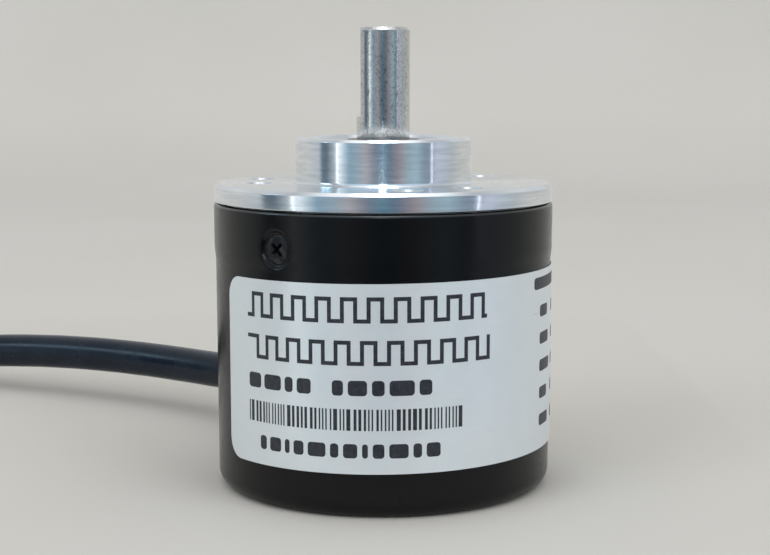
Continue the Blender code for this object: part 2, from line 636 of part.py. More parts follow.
# ---------------------------------------------------------------- bearings
def bearing(prefix, z0, flip):
    """Shielded ball bearing, 6 x 15 x 5; flip is 1 with the shield up, -1 down."""
    middle = z0 + BRG_W / 2
    cage_axis = empty(f"{prefix}_cage_axis", middle)
    half = 0.95                      # half width of the ball grooves

    def ring(part, points, parent=None):
        outline = [(r, middle + flip * h) for r, h in points]
        finish(f"{prefix}_bearing_{part}", lathe(outline, MEDIUM), BEARING, parent=parent)

    groove = PITCH_R + BALL_R + 0.12
    ring("outer_ring", [
        (BRG_OUT_R, -2.3), (BRG_OUT_R, 2.3), (BRG_OUT_R - 0.2, 2.5), (6.75, 2.5),
        (6.75, 1.9), (6.1, 1.9), (6.1, half), (groove - 0.07, 0.55), (groove, 0),
        (groove - 0.07, -0.55), (6.1, -half), (6.1, -2.5), (BRG_OUT_R - 0.2, -2.5),
    ])
    groove = PITCH_R - BALL_R - 0.05
    ring("inner_ring", [
        (BRG_IN_R, -2.35), (BRG_IN_R + 0.15, -2.5), (4.35, -2.5), (4.35, -half),
        (groove + 0.07, -0.55), (groove, 0), (groove + 0.07, 0.55), (4.35, half),
        (4.35, 2.5), (BRG_IN_R + 0.15, 2.5), (BRG_IN_R, 2.35),
    ], SHAFT_AXIS)
    ring("shield", [
        (4.5, 2.1), (5.9, 2.1), (6.3, 1.97), (6.68, 1.97), (6.68, 2.35), (4.5, 2.35),
    ])

    band = [(r, flip * h) for r, h in ((4.75, -1.75), (5.75, -1.75), (5.75, 0.45), (4.75, 0.45))]
    cage = finish(f"{prefix}_ball_cage", lathe(band, 28), CAGE, parent=cage_axis)
    azimuths = [360 * i / BALLS for i in range(BALLS)]
    pocket = rod(BALL_R + 0.12, PITCH_R - 2, PITCH_R + 2)
    cut(cage, f"{prefix}_pockets", lathe(pocket, 10, *[radial(az, middle) for az in azimuths]))

    bm = bmesh.new()
    bmesh.ops.create_icosphere(bm, subdivisions=2, radius=BALL_R * MM)
    first = finish(f"{prefix}_ball_1", bm, BEARING, spot(0, PITCH_R), parent=cage_axis, sharp=60)
    for number, az in enumerate(azimuths[1:], 2):
        ball = first.copy()          # shares the first ball's mesh
        ball.name = f"{prefix}_ball_{number}"
        ball.location = spot(az, PITCH_R) * MM
        link(ball)


def preload_wave_washer():
    """Thin waved ring between the rear bearing and the housing's shoulder."""
    bm = bmesh.new()
    middle = (REAR_BRG_Z + BRG_W + SHOULDER_Z0) / 2
    half = WASHER_HALF
    section = ((WASHER_R0, -half), (WASHER_R1, -half), (WASHER_R1, half), (WASHER_R0, half))
    rings = []
    for i in range(WASHER_STEPS):
        angle = 2 * math.pi * i / WASHER_STEPS
        z = middle + WASHER_LIFT * math.sin(WASHER_WAVES * angle)
        rings.append([
            bm.verts.new(Vector((r * math.cos(angle), r * math.sin(angle), z + h)) * MM)
            for r, h in section
        ])
    for low, high in zip(rings, rings[1:] + rings[:1]):
        for k in range(4):
            j = (k + 1) % 4
            bm.faces.new((low[k], low[j], high[j], high[k]))
    finish("preload_wave_washer", bm, SPRING)


# ---------------------------------------------------------------- rotor
def drive_shaft():
    shaft = finish("shaft", lathe([
        (0, SHAFT_Z0), (SHAFT_R - 0.3, SHAFT_Z0), (SHAFT_R, SHAFT_Z0 + 0.3),
        (SHAFT_R, GROOVE_Z0), (GROOVE_R, GROOVE_Z0), (GROOVE_R, GROOVE_Z1), (SHAFT_R, GROOVE_Z1),
        (SHAFT_R, SHAFT_Z1 - 0.32), (SHAFT_R - 0.32, SHAFT_Z1), (0, SHAFT_Z1),
    ], 24), STEEL, parent=SHAFT_AXIS)
    cut(shaft, "shaft_flat", box((-6, -6, FLAT_Z0), (FLAT_X, 6, SHAFT_Z1 + 2)))


def retaining_ring():
    """Ring in the shaft groove, with a wedge-shaped gap towards +Y."""
    z0, z1, bore = GROOVE_Z0 + GAP, GROOVE_Z1 - GAP, GROOVE_R + 0.06
    section = [(bore, z0), (4.4, z0), (4.4, z1), (bore, z1)]
    clip = finish("retaining_ring", lathe(section, MEDIUM), SPRING, parent=SHAFT_AXIS)
    wedge = [(0.4, 0.0), (6.2, -2.2), (6.2, 2.2)]
    cut(clip, "ring_gap", prism(wedge, GROOVE_Z0 - 1, GROOVE_Z1 + 1, upright(90)))


def disc_hub():
    bore, low, high = SHAFT_R + GAP, DISC_Z1 + GAP, REAR_BRG_Z - GAP
    hub = finish("disc_hub", lathe([
        (bore, low), (8.5, low), (8.5, 19.0), (6.5, 19.0),
        (6.5, 22.5), (4.2, 22.5), (4.2, high), (bore, high),
    ], MEDIUM), BRASS, parent=SHAFT_AXIS)
    cut(hub, "hub_thread", lathe(rod(1.12, 1.0, 8.0), TINY, radial(0, HUB_SCREW_Z)))


def hub_grub_screw():
    grub = finish("hub_grub_screw", lathe([
        (0, 3.06), (0.6, 3.06), (1.04, 3.5), (1.04, 6.3), (0, 6.3),
    ], TINY), BLACK_SCREW, (0, 0, HUB_SCREW_Z), radial_euler(0), SHAFT_AXIS)
    cut(grub, "grub_socket", prism(polygon(0.62, 6), 5.0, 7.0, radial(0, HUB_SCREW_Z)))


def code_disc():
    section = [(2.0, DISC_Z0), (DISC_R, DISC_Z0), (DISC_R, DISC_Z1), (2.0, DISC_Z1)]
    disc = finish("code_disc", lathe(section, ROUND), DISC, parent=SHAFT_AXIS)
    r0, r1 = TRACK_R - SLOT_REACH, TRACK_R + SLOT_REACH
    slot = [(r0, -SLOT_HALF_IN), (r1, -SLOT_HALF_OUT), (r1, SLOT_HALF_OUT), (r0, SLOT_HALF_IN)]
    places = [upright(360 * i / SLOTS) for i in range(SLOTS)]
    cut(disc, "disc_slots", prism(slot, DISC_Z0 - 0.5, DISC_Z1 + 0.5, *places))


# ---------------------------------------------------------------- assembly
flange_housing()
rear_cover()
cover_screws()
rating_label()

cable()
cable_grommet()
cable_tie()

encoder_board()
board_posts()
wire_header()
wire_plug()
led_holder()
infrared_led()
led_holder_screw()
detector_and_mask()
chip("comparator_chip", az=0, r=8.2, size=(8.6, 3.9, 1.5), leads=7, pitch=1.27, reach=1.0)
chip("voltage_regulator", az=110, r=8.6, size=(4.5, 2.5, 1.5), leads=3, pitch=1.5, reach=0.9)
smoothing_capacitor()

bearing("front", FRONT_BRG_Z, flip=1)
bearing("rear", REAR_BRG_Z, flip=-1)
preload_wave_washer()

drive_shaft()
retaining_ring()
disc_hub()
hub_grub_screw()
code_disc()
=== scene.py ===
# A shaft encoder standing on its rear cover. The shaft axis is +Z through the origin, the bench is
# z = 0, and the front, where the label faces the camera, is -Y. The cable leaves low at the back
# and runs to the left (-X). Pieces are sized in millimetres, the stage and the lights in metres.
# Azimuths are degrees from +X, counter-clockwise from above: the front is 270.
import math

import bmesh
import bpy
from mathutils import Matrix, Vector


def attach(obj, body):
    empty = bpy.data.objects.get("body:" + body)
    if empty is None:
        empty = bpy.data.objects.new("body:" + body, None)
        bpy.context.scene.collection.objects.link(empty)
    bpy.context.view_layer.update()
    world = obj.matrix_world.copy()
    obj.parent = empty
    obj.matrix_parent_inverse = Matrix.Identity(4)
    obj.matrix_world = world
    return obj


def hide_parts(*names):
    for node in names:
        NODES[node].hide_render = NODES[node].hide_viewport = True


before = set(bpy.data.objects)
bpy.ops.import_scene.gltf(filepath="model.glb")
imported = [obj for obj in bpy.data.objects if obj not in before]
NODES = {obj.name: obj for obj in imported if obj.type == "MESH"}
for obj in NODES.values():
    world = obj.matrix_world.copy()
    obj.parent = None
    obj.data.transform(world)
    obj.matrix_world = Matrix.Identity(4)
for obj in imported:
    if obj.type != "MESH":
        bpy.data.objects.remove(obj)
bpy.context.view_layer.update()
MM = 0.001

# Flange housing
BODY_RADIUS = 19.0
FLANGE_LOW, FLANGE_TOP, FLANGE_CHAMFER = 32.0, 34.0, 0.36
BOSS_RADIUS, BOSS_TOP, BOSS_CHAMFER = 10.0, 39.0, 0.28

# Rear cover: outer radii at the foot, at the label and at the rim, and the inside radius
COVER_FOOT_RADIUS, COVER_RADIUS, COVER_RIM_RADIUS = 18.84, 18.9, 19.06
COVER_BORE = 18.0
COVER_TOP, COVER_FLOOR = 31.85, 1.2
COVER_CORNER, COVER_RIM_FILLET, COVER_INNER_FILLET = 1.75, 0.42, 2.0
FLARE_LOW, FLARE_HIGH = 25.3, 27.2      # heights between which the wall opens
RIM_DRIFT = 0.01                        # last bit of opening, from FLARE_HIGH to the top

# Cover screws, each in a round dimple: radii of its flat and its edge, and the flat's distance
# from the axis
SCREW_Z, SCREW_AZIMUTHS = 27.9, (233.8, 357.0, 115.0)
SLOT_TURNS = (45, 24, 36)               # turn of each screw's cross slot, in degrees
DIMPLE_FLAT, DIMPLE_EDGE, DIMPLE_DEPTH_RADIUS = 1.62, 2.2, 18.55

# Cable: distances out from the axis along its azimuth, then its way over the bench
CABLE_AZIMUTH, CABLE_Z = 119.0, 6.3
CABLE_RADIUS, CABLE_BORE = 2.4, 1.72
CABLE_START, CABLE_WALL, CABLE_STRAIGHT = 12.4, 18.0, 24.0
CABLE_PATH = (                          # x, y, z of the centre line
    (-17.35, 29.2, 6.12), (-24.0, 35.6, 5.92), (-33.3, 42.3, 5.95), (-42.8, 47.35, 5.97),
    (-52.5, 51.8, 5.62), (-62.3, 55.5, 4.85), (-71.4, 58.85, 3.35), (-80.0, 62.0, 2.46),
)

# Wires in the cable
CORE_PITCH_RADIUS = 1.02                # the wires lie on this circle inside the jacket
CORES = (("red", 162.0), ("black", 234.0), ("drain", 90.0), ("green", 306.0), ("white", 18.0))
LANE_STEP, LOOSE_LANE_FACTOR = 2.0, 0.93  # spacing of the fanned wires, and its share when loose
LOOSE_LENGTH, LOOSE_STEPS, LOOSE_END_Z = 11.7, 12, 0.5
BARE_STEPS = 5                          # path steps at a wire's end without insulation
INNER_WIRES = (                         # distance out, height, share of the fanning out
    (11.2, 6.25, 0.10), (9.2, 5.9, 0.30), (7.0, 5.2, 0.55), (4.8, 4.5, 0.80), (2.6, 4.1, 0.95),
    (1.0, 4.2, 1.0), (-0.05, 5.0, 1.0), (-0.4, 5.9, 1.0), (-0.5, 7.2, 1.0), (-0.5, 8.2, 1.0),
)

# Label: radii of its two faces, azimuths of its ends, heights at the front
LABEL_IN, LABEL_OUT = 18.955, 19.028
LABEL_START, LABEL_END = 209.2, 389.0
LABEL_LOW, LABEL_HIGH, LABEL_CORNER = 4.96, 24.79, 2.2
LABEL_TILT = 0.17                       # rise per radian round the body
LABEL_STRIP, INK_STRIP = 0.4, 0.36      # widest flat strip of the film and of the ink
INK_RISE, INK_SINK = 0.009, 0.012       # ink faces above and below the film's outer face
PULSE_PERIOD, PULSE_SHIFT, PULSE_STROKE = 2.76, 0.72, 0.42
BLOCK_GAP = 0.5

SHAFT_RADIUS = 3.0
SHAFT_FLAT = -2.5                       # x of the flat along the shaft's left side

# Retaining ring: heights, groove radius, and half its gap in degrees
RING_LOW, RING_HIGH, RING_BORE, RING_HALF_GAP, RING_STEPS = 38.27, 38.83, 2.81, 24, 72
LUG_AZIMUTHS = (121, 59)

# Ball bearings: half width, circle of the ball centres, radius of the ball grooves
BEARING_HALF, BALL_PITCH_RADIUS, GROOVE_RADIUS = 2.5, 5.25, 1.25


# ------------------------------------------------------------------ outlines
def even(count):
    return [2 * math.pi * i / count for i in range(count)]


def smooth_step(value):
    value = max(0.0, min(1.0, value))
    return value * value * (3 - 2 * value)


def arc(centre_x, centre_y, radius, start, end, count):
    angles = [math.radians(start + (end - start) * i / count) for i in range(count + 1)]
    return [(centre_x + radius * math.cos(angle), centre_y + radius * math.sin(angle))
            for angle in angles]


def fillet(corners, steps=4):
    """Closed outline of (x, y, fillet radius) corners, each rounded by its radius."""
    points = []
    for i, (x, y, radius) in enumerate(corners):
        corner = Vector((x, y))
        back = Vector(corners[i - 1][:2]) - corner
        onward = Vector(corners[(i + 1) % len(corners)][:2]) - corner
        shorter = min(back.length, onward.length)
        back.normalize()
        onward.normalize()
        half = math.acos(max(-1, min(1, back.dot(onward)))) / 2
        if radius <= 0 or abs(half - math.pi / 2) < 1e-3:
            points.append((x, y))
            continue
        reach = min(radius / math.tan(half), shorter * 0.49)
        radius = reach * math.tan(half)
        centre = corner + (back + onward).normalized() * (radius / math.sin(half))
        start = corner + back * reach - centre
        sweep = start.angle_signed(corner + onward * reach - centre)
        for k in range(steps + 1):
            cosine = math.cos(-sweep * k / steps)
            sine = math.sin(-sweep * k / steps)
            points.append((centre.x + start.x * cosine - start.y * sine,
                           centre.y + start.x * sine + start.y * cosine))
    return points


def plug(radius, low, high):
    """Outline of a plain cylinder."""
    return [(0, low), (radius, low), (radius, high), (0, high)]


def blind_hole(radius, top, tip):
    """Outline of a drilled hole with a conical end, from below the housing's inner face."""
    return [(0, 24), (radius, 24), (radius, top - tip), (0, top)]


def thread(start, pitch, turns, root, crest):
    points = []
    for i in range(turns):
        low = start + pitch * i
        points += [(root, low), (crest, low + pitch / 2)]
    return points


def rounded_box(left, right, low, high, radius, steps):
    points = []
    for x, y, start in ((right - radius, high - radius, 0), (left + radius, high - radius, 90),
                        (left + radius, low + radius, 180), (right - radius, low + radius, 270)):
        points += arc(x, y, radius, start, start + 90, steps)
    return points


def cross(length, width):
    return [(length, -width), (length, width), (width, width), (width, length),
            (-width, length), (-width, width), (-length, width), (-length, -width),
            (-width, -width), (-width, -length), (width, -length), (width, -width)]


# ------------------------------------------------------------------ places
def radial(azimuth, z, turn=0.0):
    """Lays a piece's own Z axis along the outward direction, turned by degrees about it."""
    return (
        Matrix.Translation((0, 0, z * MM))
        @ Matrix.Rotation(math.radians(azimuth), 4, "Z")
        @ Matrix.Rotation(math.pi / 2, 4, "Y")
        @ Matrix.Rotation(math.radians(turn), 4, "Z")
    )


def upright(azimuth, radius, side=0.0):
    turn = Matrix.Rotation(math.radians(azimuth), 4, "Z")
    return turn @ Matrix.Translation((radius * MM, side * MM, 0))


def directions(azimuth):
    """Outward and sideways unit vectors."""
    out = Vector((math.cos(math.radians(azimuth)), math.sin(math.radians(azimuth)), 0))
    return out, Vector((-out.y, out.x, 0))


# ------------------------------------------------------------------ solids
def revolve(mesh, outline, angles, place=None):
    """Adds the surface of revolution of a closed (radius, z) outline."""
    rings = []
    for radius, z in outline:
        if radius <= 1e-9:
            rings.append([mesh.verts.new((0, 0, z * MM))])
        else:
            rings.append([
                mesh.verts.new((radius * MM * math.cos(angle), radius * MM * math.sin(angle), z * MM))
                for angle in angles
            ])
    for low, high in zip(rings, rings[1:] + rings[:1]):
        if len(low) == 1 and len(high) == 1:
            continue
        for i in range(len(angles)):
            j = (i + 1) % len(angles)
            if len(low) == 1:
                mesh.faces.new((low[0], high[j], high[i]))
            elif len(high) == 1:
                mesh.faces.new((low[i], low[j], high[0]))
            else:
                mesh.faces.new((low[i], low[j], high[j], high[i]))
    if place is not None:
        bmesh.ops.transform(mesh, matrix=place, verts=[vert for ring in rings for vert in ring])


def turned(outline, sides, place=None):
    mesh = bmesh.new()
    revolve(mesh, outline, even(sides), place)
    return mesh


def loft(low_outline, high_outline, low, high, place=None):
    """Closed solid between two matching polygons at two heights."""
    mesh = bmesh.new()
    bottom = [mesh.verts.new((x * MM, y * MM, low * MM)) for x, y in low_outline]
    top = [mesh.verts.new((x * MM, y * MM, high * MM)) for x, y in high_outline]
    mesh.faces.new(bottom)
    mesh.faces.new(top)
    for i in range(len(bottom)):
        j = (i + 1) % len(bottom)
        mesh.faces.new((bottom[i], bottom[j], top[j], top[i]))
    if place is not None:
        bmesh.ops.transform(mesh, matrix=place, verts=mesh.verts)
    return mesh


def extrude_sheet(mesh):
    """Gives a flat sheet a second face and returns the new vertices."""
    grown = bmesh.ops.extrude_face_region(mesh, geom=mesh.faces[:])
    return [item for item in grown["geom"] if isinstance(item, bmesh.types.BMVert)]


def stations_of(centres, side):
    """(centre, across, across x along) at each point of a line."""
    stations = []
    for i, centre in enumerate(centres):
        along = (centres[min(i + 1, len(centres) - 1)] - centres[max(i - 1, 0)]).normalized()
        across = (side - along * side.dot(along)).normalized()
        stations.append((centre, across, across.cross(along).normalized()))
    return stations


def tube(stations, radius, sides, bore=None):
    """Tube whose radius is a function of station index and angle; solid without a bore."""
    mesh = bmesh.new()

    def skin(radius_at):
        rings = [
            [mesh.verts.new((centre + across * radius_at(i, angle) * math.cos(angle)
                             + down * radius_at(i, angle) * math.sin(angle)) * MM)
             for angle in even(sides)]
            for i, (centre, across, down) in enumerate(stations)
        ]
        for low, high in zip(rings, rings[1:]):
            for i in range(sides):
                j = (i + 1) % sides
                mesh.faces.new((low[i], low[j], high[j], high[i]))
        return rings

    outer = skin(radius)
    inner = None if bore is None else skin(lambda i, angle: bore)
    for end in (0, -1):
        ring = outer[end]
        if bore is None:
            middle = mesh.verts.new(stations[end][0] * MM)
        for i in range(sides):
            j = (i + 1) % sides
            if bore is None:
                mesh.faces.new((ring[i], ring[j], middle))
            else:
                mesh.faces.new((ring[i], ring[j], inner[end][j], inner[end][i]))
    return mesh


def spline(points, steps):
    """Catmull-Rom through the points."""
    found = []
    last = len(points) - 1
    for i in range(last):
        before, start = points[max(i - 1, 0)], points[i]
        end, after = points[i + 1], points[min(i + 2, last)]
        for k in range(steps):
            t = k / steps
            found.append(0.5 * (
                (2 * start) + (end - before) * t
                + (2 * before - 5 * start + 4 * end - after) * t * t
                + (3 * start - before - 3 * end + after) * t ** 3
            ))
    found.append(points[-1])
    return found


# ------------------------------------------------------------------ objects
def add_object(name, data):
    obj = bpy.data.objects.new(name, data)
    bpy.context.scene.collection.objects.link(obj)
    return obj


def smooth(data, sharp):
    """Smooth shading with edges over the sharp angle, in degrees, kept hard."""
    data.shade_smooth()
    data.set_sharp_from_angle(angle=math.radians(sharp))


def make(name, mesh, material=None, sharp=32):
    """Turns a closed mesh into an object with outward normals."""
    bmesh.ops.recalc_face_normals(mesh, faces=mesh.faces)
    if mesh.calc_volume(signed=True) < 0:
        bmesh.ops.reverse_faces(mesh, faces=mesh.faces)
    data = bpy.data.meshes.new(name)
    mesh.to_mesh(data)
    mesh.free()
    smooth(data, sharp)
    obj = add_object(name, data)
    if material is not None:
        data.materials.append(material)
    return obj


def cut(obj, tool, operation="DIFFERENCE", sharp=32):
    """Applies a Boolean with a throwaway helper and keeps only the result's mesh."""
    helper = make("helper", tool)
    boolean = obj.modifiers.new("cut", "BOOLEAN")
    boolean.operation = operation
    boolean.solver = "EXACT"
    boolean.object = helper
    bpy.context.view_layer.update()
    graph = bpy.context.evaluated_depsgraph_get()
    data = bpy.data.meshes.new_from_object(obj.evaluated_get(graph))
    obj.modifiers.clear()
    old = obj.data
    name = old.name
    obj.data = data
    bpy.data.meshes.remove(old)
    data.name = name
    bpy.data.objects.remove(helper)
    smooth(data, sharp)


def bevel_edges(obj, name, width):
    bevel = obj.modifiers.new(name, "BEVEL")
    bevel.width = width * MM
    bevel.segments = 2
    bevel.limit_method = "ANGLE"
    bevel.angle_limit = math.radians(50)


def place_piece(obj, body, slot, *nodes):
    """Says which body carries the piece and hides the CAD nodes it stands for; the slot argument is
    not used.
    """
    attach(obj, body)
    if nodes:
        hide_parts(*nodes)


# ------------------------------------------------------------------ shader graphs
class Value:
    """A node output; +, -, * and / on it make Math nodes."""

    def __init__(self, graph, socket):
        self.graph = graph
        self.socket = socket

    def __add__(self, other):
        return self.graph.math("ADD", self, other)

    def __sub__(self, other):
        return self.graph.math("SUBTRACT", self, other)

    def __rsub__(self, other):
        return self.graph.math("SUBTRACT", other, self)

    def __mul__(self, other):
        return self.graph.math("MULTIPLY", self, other)

    def __truediv__(self, other):
        return self.graph.math("DIVIDE", self, other)

    def remap(self, span, to=(0.0, 1.0), smooth=False):
        """Carries the span onto another range, clamped at both ends."""
        inputs = dict(enumerate((self, *span, *to)))
        kind = "SMOOTHSTEP" if smooth else "LINEAR"
        return self.graph.value("ShaderNodeMapRange", inputs, interpolation_type=kind)


class Graph:
    """Builds nodes in a tree. Colours are given as (red, green, blue)."""

    def __init__(self, tree, space):
        self.tree = tree
        self.coords = self.value("ShaderNodeTexCoord", output=space)

    def feed(self, socket, value):
        if isinstance(value, Value):
            self.tree.links.new(value.socket, socket)
        else:
            socket.default_value = (*value, 1.0) if isinstance(value, tuple) else value

    def node(self, kind, inputs=None, **settings):
        node = self.tree.nodes.new(kind)
        for key, value in settings.items():
            setattr(node, key, value)
        for key, value in (inputs or {}).items():
            self.feed(node.inputs[key], value)
        return node

    def value(self, kind, inputs=None, output=0, **settings):
        return Value(self, self.node(kind, inputs, **settings).outputs[output])

    def math(self, operation, *values):
        return self.value("ShaderNodeMath", dict(enumerate(values)), operation=operation)

    def split(self, vector=None):
        node = self.node("ShaderNodeSeparateXYZ", {0: vector or self.coords})
        return [Value(self, socket) for socket in node.outputs]

    def join(self, x, y, z=0.0):
        return self.value("ShaderNodeCombineXYZ", {0: x, 1: y, 2: z})

    def mix(self, factor, low, high):
        """Colour low at factor 0, high at factor 1."""
        return self.value("ShaderNodeMix", {0: factor, 6: low, 7: high}, 2, data_type="RGBA")

    def noise(self, scale, detail, roughness=0.5, vector=None):
        inputs = {"Vector": vector or self.coords, "Scale": scale, "Detail": detail,
                  "Roughness": roughness}
        return self.value("ShaderNodeTexNoise", inputs, "Fac")

    def voronoi(self, scale, vector=None):
        inputs = {"Vector": vector or self.coords, "Scale": scale}
        return self.value("ShaderNodeTexVoronoi", inputs, "Distance")

    def bump(self, height, depth, strength):
        """depth in millimetres"""
        inputs = {"Strength": strength, "Distance": depth * MM, "Height": height}
        return self.value("ShaderNodeBump", inputs)

    def tangent(self):
        return self.value("ShaderNodeTangent", direction_type="RADIAL", axis="Z")

    def radius(self):
        x, y, _ = self.split()
        return self.math("SQRT", x * x + y * y)


class Material(Graph):
    """A material on one Principled BSDF."""

    def __init__(self, name):
        self.mat = bpy.data.materials.new(name)
        self.mat.use_nodes = True
        super().__init__(self.mat.node_tree, "Object")

    def put(self, **values):
        """Sets Principled inputs; an underscore stands for a space. Returns the material."""
        inputs = self.tree.nodes["Principled BSDF"].inputs
        for key, value in values.items():
            self.feed(inputs[key.replace("_", " ")], value)
        return self.mat


# ------------------------------------------------------------------ materials
def turned_aluminium():
    """Bright turned metal: fine grooves run round the axis, on the sides and on the faces."""
    mat = Material("turned_aluminium")
    x, y, z = mat.split()
    radius = mat.radius()
    normal = mat.value("ShaderNodeNewGeometry", output="True Normal")
    facing = mat.math("ABSOLUTE", mat.split(normal)[2]).remap(span=(0.5, 0.8))
    # one coordinate across the grooves: height on a side, radius on a face
    across = z * (1.0 - facing) + radius * facing
    along = mat.math("ARCTAN2", y, x) * 0.0012
    lane = mat.join(across, along)
    fine = mat.noise(scale=9000.0, detail=2.0, roughness=0.6, vector=lane)
    coarse = mat.noise(scale=2200.0, detail=2.0, vector=lane)
    broad = mat.noise(scale=120.0, detail=2.0)
    grooves = fine * 0.6 + coarse * 0.6
    tone = mat.mix(coarse.remap(span=(0.3, 0.7)), low=(0.70, 0.73, 0.76), high=(0.86, 0.89, 0.91))
    tone = mat.mix(broad.remap(span=(0.45, 0.7)) * 0.25, low=tone, high=(0.66, 0.68, 0.70))
    rough = (fine.remap(span=(0.3, 0.7), to=(0.13, 0.20))
             + broad.remap(span=(0.4, 0.7), to=(0.0, 0.03)))
    return mat.put(
        Base_Color=tone, Metallic=1.0, Roughness=rough, Anisotropic=0.82, Tangent=mat.tangent(),
        Anisotropic_Rotation=0.25, Normal=mat.bump(grooves, depth=0.0032, strength=0.6))


def ground_steel():
    """Centreless ground shaft: grey and slightly warm, pitted all over, with rubbed patches."""
    mat = Material("ground_steel")
    x, y, z = mat.split()
    angle = mat.math("ARCTAN2", y, x)
    lane = mat.join(z, angle * 0.0008)
    rings = mat.noise(scale=7000.0, detail=2.0, roughness=0.6, vector=lane)
    speck = mat.noise(scale=5600.0, detail=3.0, roughness=0.7)
    pits = mat.noise(scale=2600.0, detail=2.0, roughness=0.6, vector=mat.join(x, y, z * 0.6))
    rubbed = mat.noise(scale=420.0, detail=3.0, roughness=0.6, vector=mat.join(x, y, z * 0.35))
    tone = mat.mix(rubbed.remap(span=(0.40, 0.68)), low=(0.60, 0.60, 0.59), high=(0.72, 0.72, 0.705))
    tone = mat.mix(speck.remap(span=(0.52, 0.68)), low=tone, high=(0.30, 0.30, 0.295))
    tone = mat.mix(pits.remap(span=(0.60, 0.70)) * 0.7, low=tone, high=(0.24, 0.24, 0.235))
    height = rings * 0.6 + speck * 0.9 - pits.remap(span=(0.58, 0.70))
    rough = (rings.remap(span=(0.3, 0.7), to=(0.13, 0.19))
             + speck.remap(span=(0.45, 0.7), to=(0.0, 0.12)))
    return mat.put(
        Base_Color=tone, Metallic=1.0, Roughness=rough, Anisotropic=0.3, Tangent=mat.tangent(),
        Anisotropic_Rotation=0.25, Normal=mat.bump(height, depth=0.004, strength=0.6))


def plain_metal(name, tone, rough, variation=0.08, groove_scale=6000.0, anisotropic=0.4):
    mat = Material(name)
    x, y, z = mat.split()
    radius = mat.radius()
    lane = mat.join(z, radius, mat.math("ARCTAN2", y, x) * 0.001)
    fine = mat.noise(scale=groove_scale, detail=2.0, roughness=0.6, vector=lane)
    broad = mat.noise(scale=260.0, detail=3.0, roughness=0.55)
    dark = tuple(channel * (1 - variation * 2) for channel in tone)
    return mat.put(
        Base_Color=mat.mix(broad.remap(span=(0.35, 0.7)), low=tone, high=dark), Metallic=1.0,
        Roughness=(fine.remap(span=(0.3, 0.7), to=(rough * 0.8, rough * 1.15))
                   + broad.remap(span=(0.4, 0.7), to=(0.0, 0.06))),
        Anisotropic=anisotropic, Tangent=mat.tangent(), Anisotropic_Rotation=0.25,
        Normal=mat.bump(fine, depth=0.003, strength=0.45))


def black_paint():
    """Satin black coating with a faint orange peel, a little haze and a few dust specks."""
    mat = Material("black_paint")
    peel = mat.noise(scale=900.0, detail=3.0)
    grain = mat.noise(scale=7000.0, detail=2.0)
    haze = mat.noise(scale=55.0, detail=4.0, roughness=0.6)
    dust = mat.voronoi(scale=420.0)
    keep = mat.noise(scale=150.0, detail=1.0)
    spots = dust.remap(span=(0.035, 0.06), to=(1.0, 0.0)) * keep.remap(span=(0.60, 0.66))
    tone = mat.mix(haze.remap(span=(0.35, 0.75)),
                   low=(0.0011, 0.0011, 0.0014), high=(0.0022, 0.0022, 0.0027))
    tone = mat.mix(spots * 0.7, low=tone, high=(0.22, 0.21, 0.20))
    rough = (haze.remap(span=(0.3, 0.7), to=(0.20, 0.27))
             + peel.remap(span=(0.35, 0.65), to=(-0.02, 0.03)))
    height = peel * 1.0 + grain * 0.18
    # painted sheen: the paint reflects more strongly on the rounded top edge of the cover than on the
    # wall, to make the glint along the lip
    shine = mat.split()[2].remap(span=(0.03150, 0.03162), to=(0.26, 0.90))
    return mat.put(
        Base_Color=tone, Metallic=0.0, Roughness=rough, Specular_IOR_Level=shine,
        Normal=mat.bump(height, depth=0.005, strength=0.45))


def black_zinc():
    mat = Material("black_zinc")
    grain = mat.noise(scale=3500.0, detail=3.0, roughness=0.6)
    wear = mat.noise(scale=900.0, detail=3.0, roughness=0.6)
    tone = mat.mix(wear.remap(span=(0.50, 0.75)), low=(0.018, 0.018, 0.020), high=(0.09, 0.09, 0.095))
    return mat.put(
        Base_Color=tone, Metallic=0.75, Roughness=grain.remap(span=(0.3, 0.7), to=(0.26, 0.42)),
        Normal=mat.bump(grain, depth=0.004, strength=0.5))


def silver_film():
    """Brushed silver film under a clear satin face."""
    mat = Material("silver_film")
    x, y, z = mat.split()
    angle = mat.math("ARCTAN2", y, x)
    lane = mat.join(angle * 0.0006, 0.0, z)
    brushed = mat.noise(scale=2600.0, detail=2.0, roughness=0.6, vector=lane)
    mottled = mat.noise(scale=500.0, detail=3.0, roughness=0.55)
    broad = mat.noise(scale=60.0, detail=2.0)
    tone = mat.mix(mottled.remap(span=(0.3, 0.7)),
                   low=(0.700, 0.765, 0.805), high=(0.725, 0.785, 0.820))
    tone = mat.mix(brushed.remap(span=(0.35, 0.7), to=(0.0, 0.15)), low=tone, high=(0.80, 0.85, 0.88))
    rough = (broad.remap(span=(0.35, 0.7), to=(0.28, 0.33))
             + brushed.remap(span=(0.3, 0.7), to=(-0.01, 0.015)))
    return mat.put(Base_Color=tone, Metallic=0.30, Roughness=rough,
                   Normal=mat.bump(mottled, depth=0.0012, strength=0.2))


def print_ink():
    mat = Material("print_ink")
    press = mat.noise(scale=2500.0, detail=3.0, roughness=0.6)
    tone = mat.mix(press.remap(span=(0.35, 0.75)), low=(0.010, 0.012, 0.018), high=(0.035, 0.04, 0.05))
    return mat.put(Base_Color=tone, Roughness=press.remap(span=(0.3, 0.7), to=(0.38, 0.52)),
                   Normal=mat.bump(press, depth=0.002, strength=0.3))


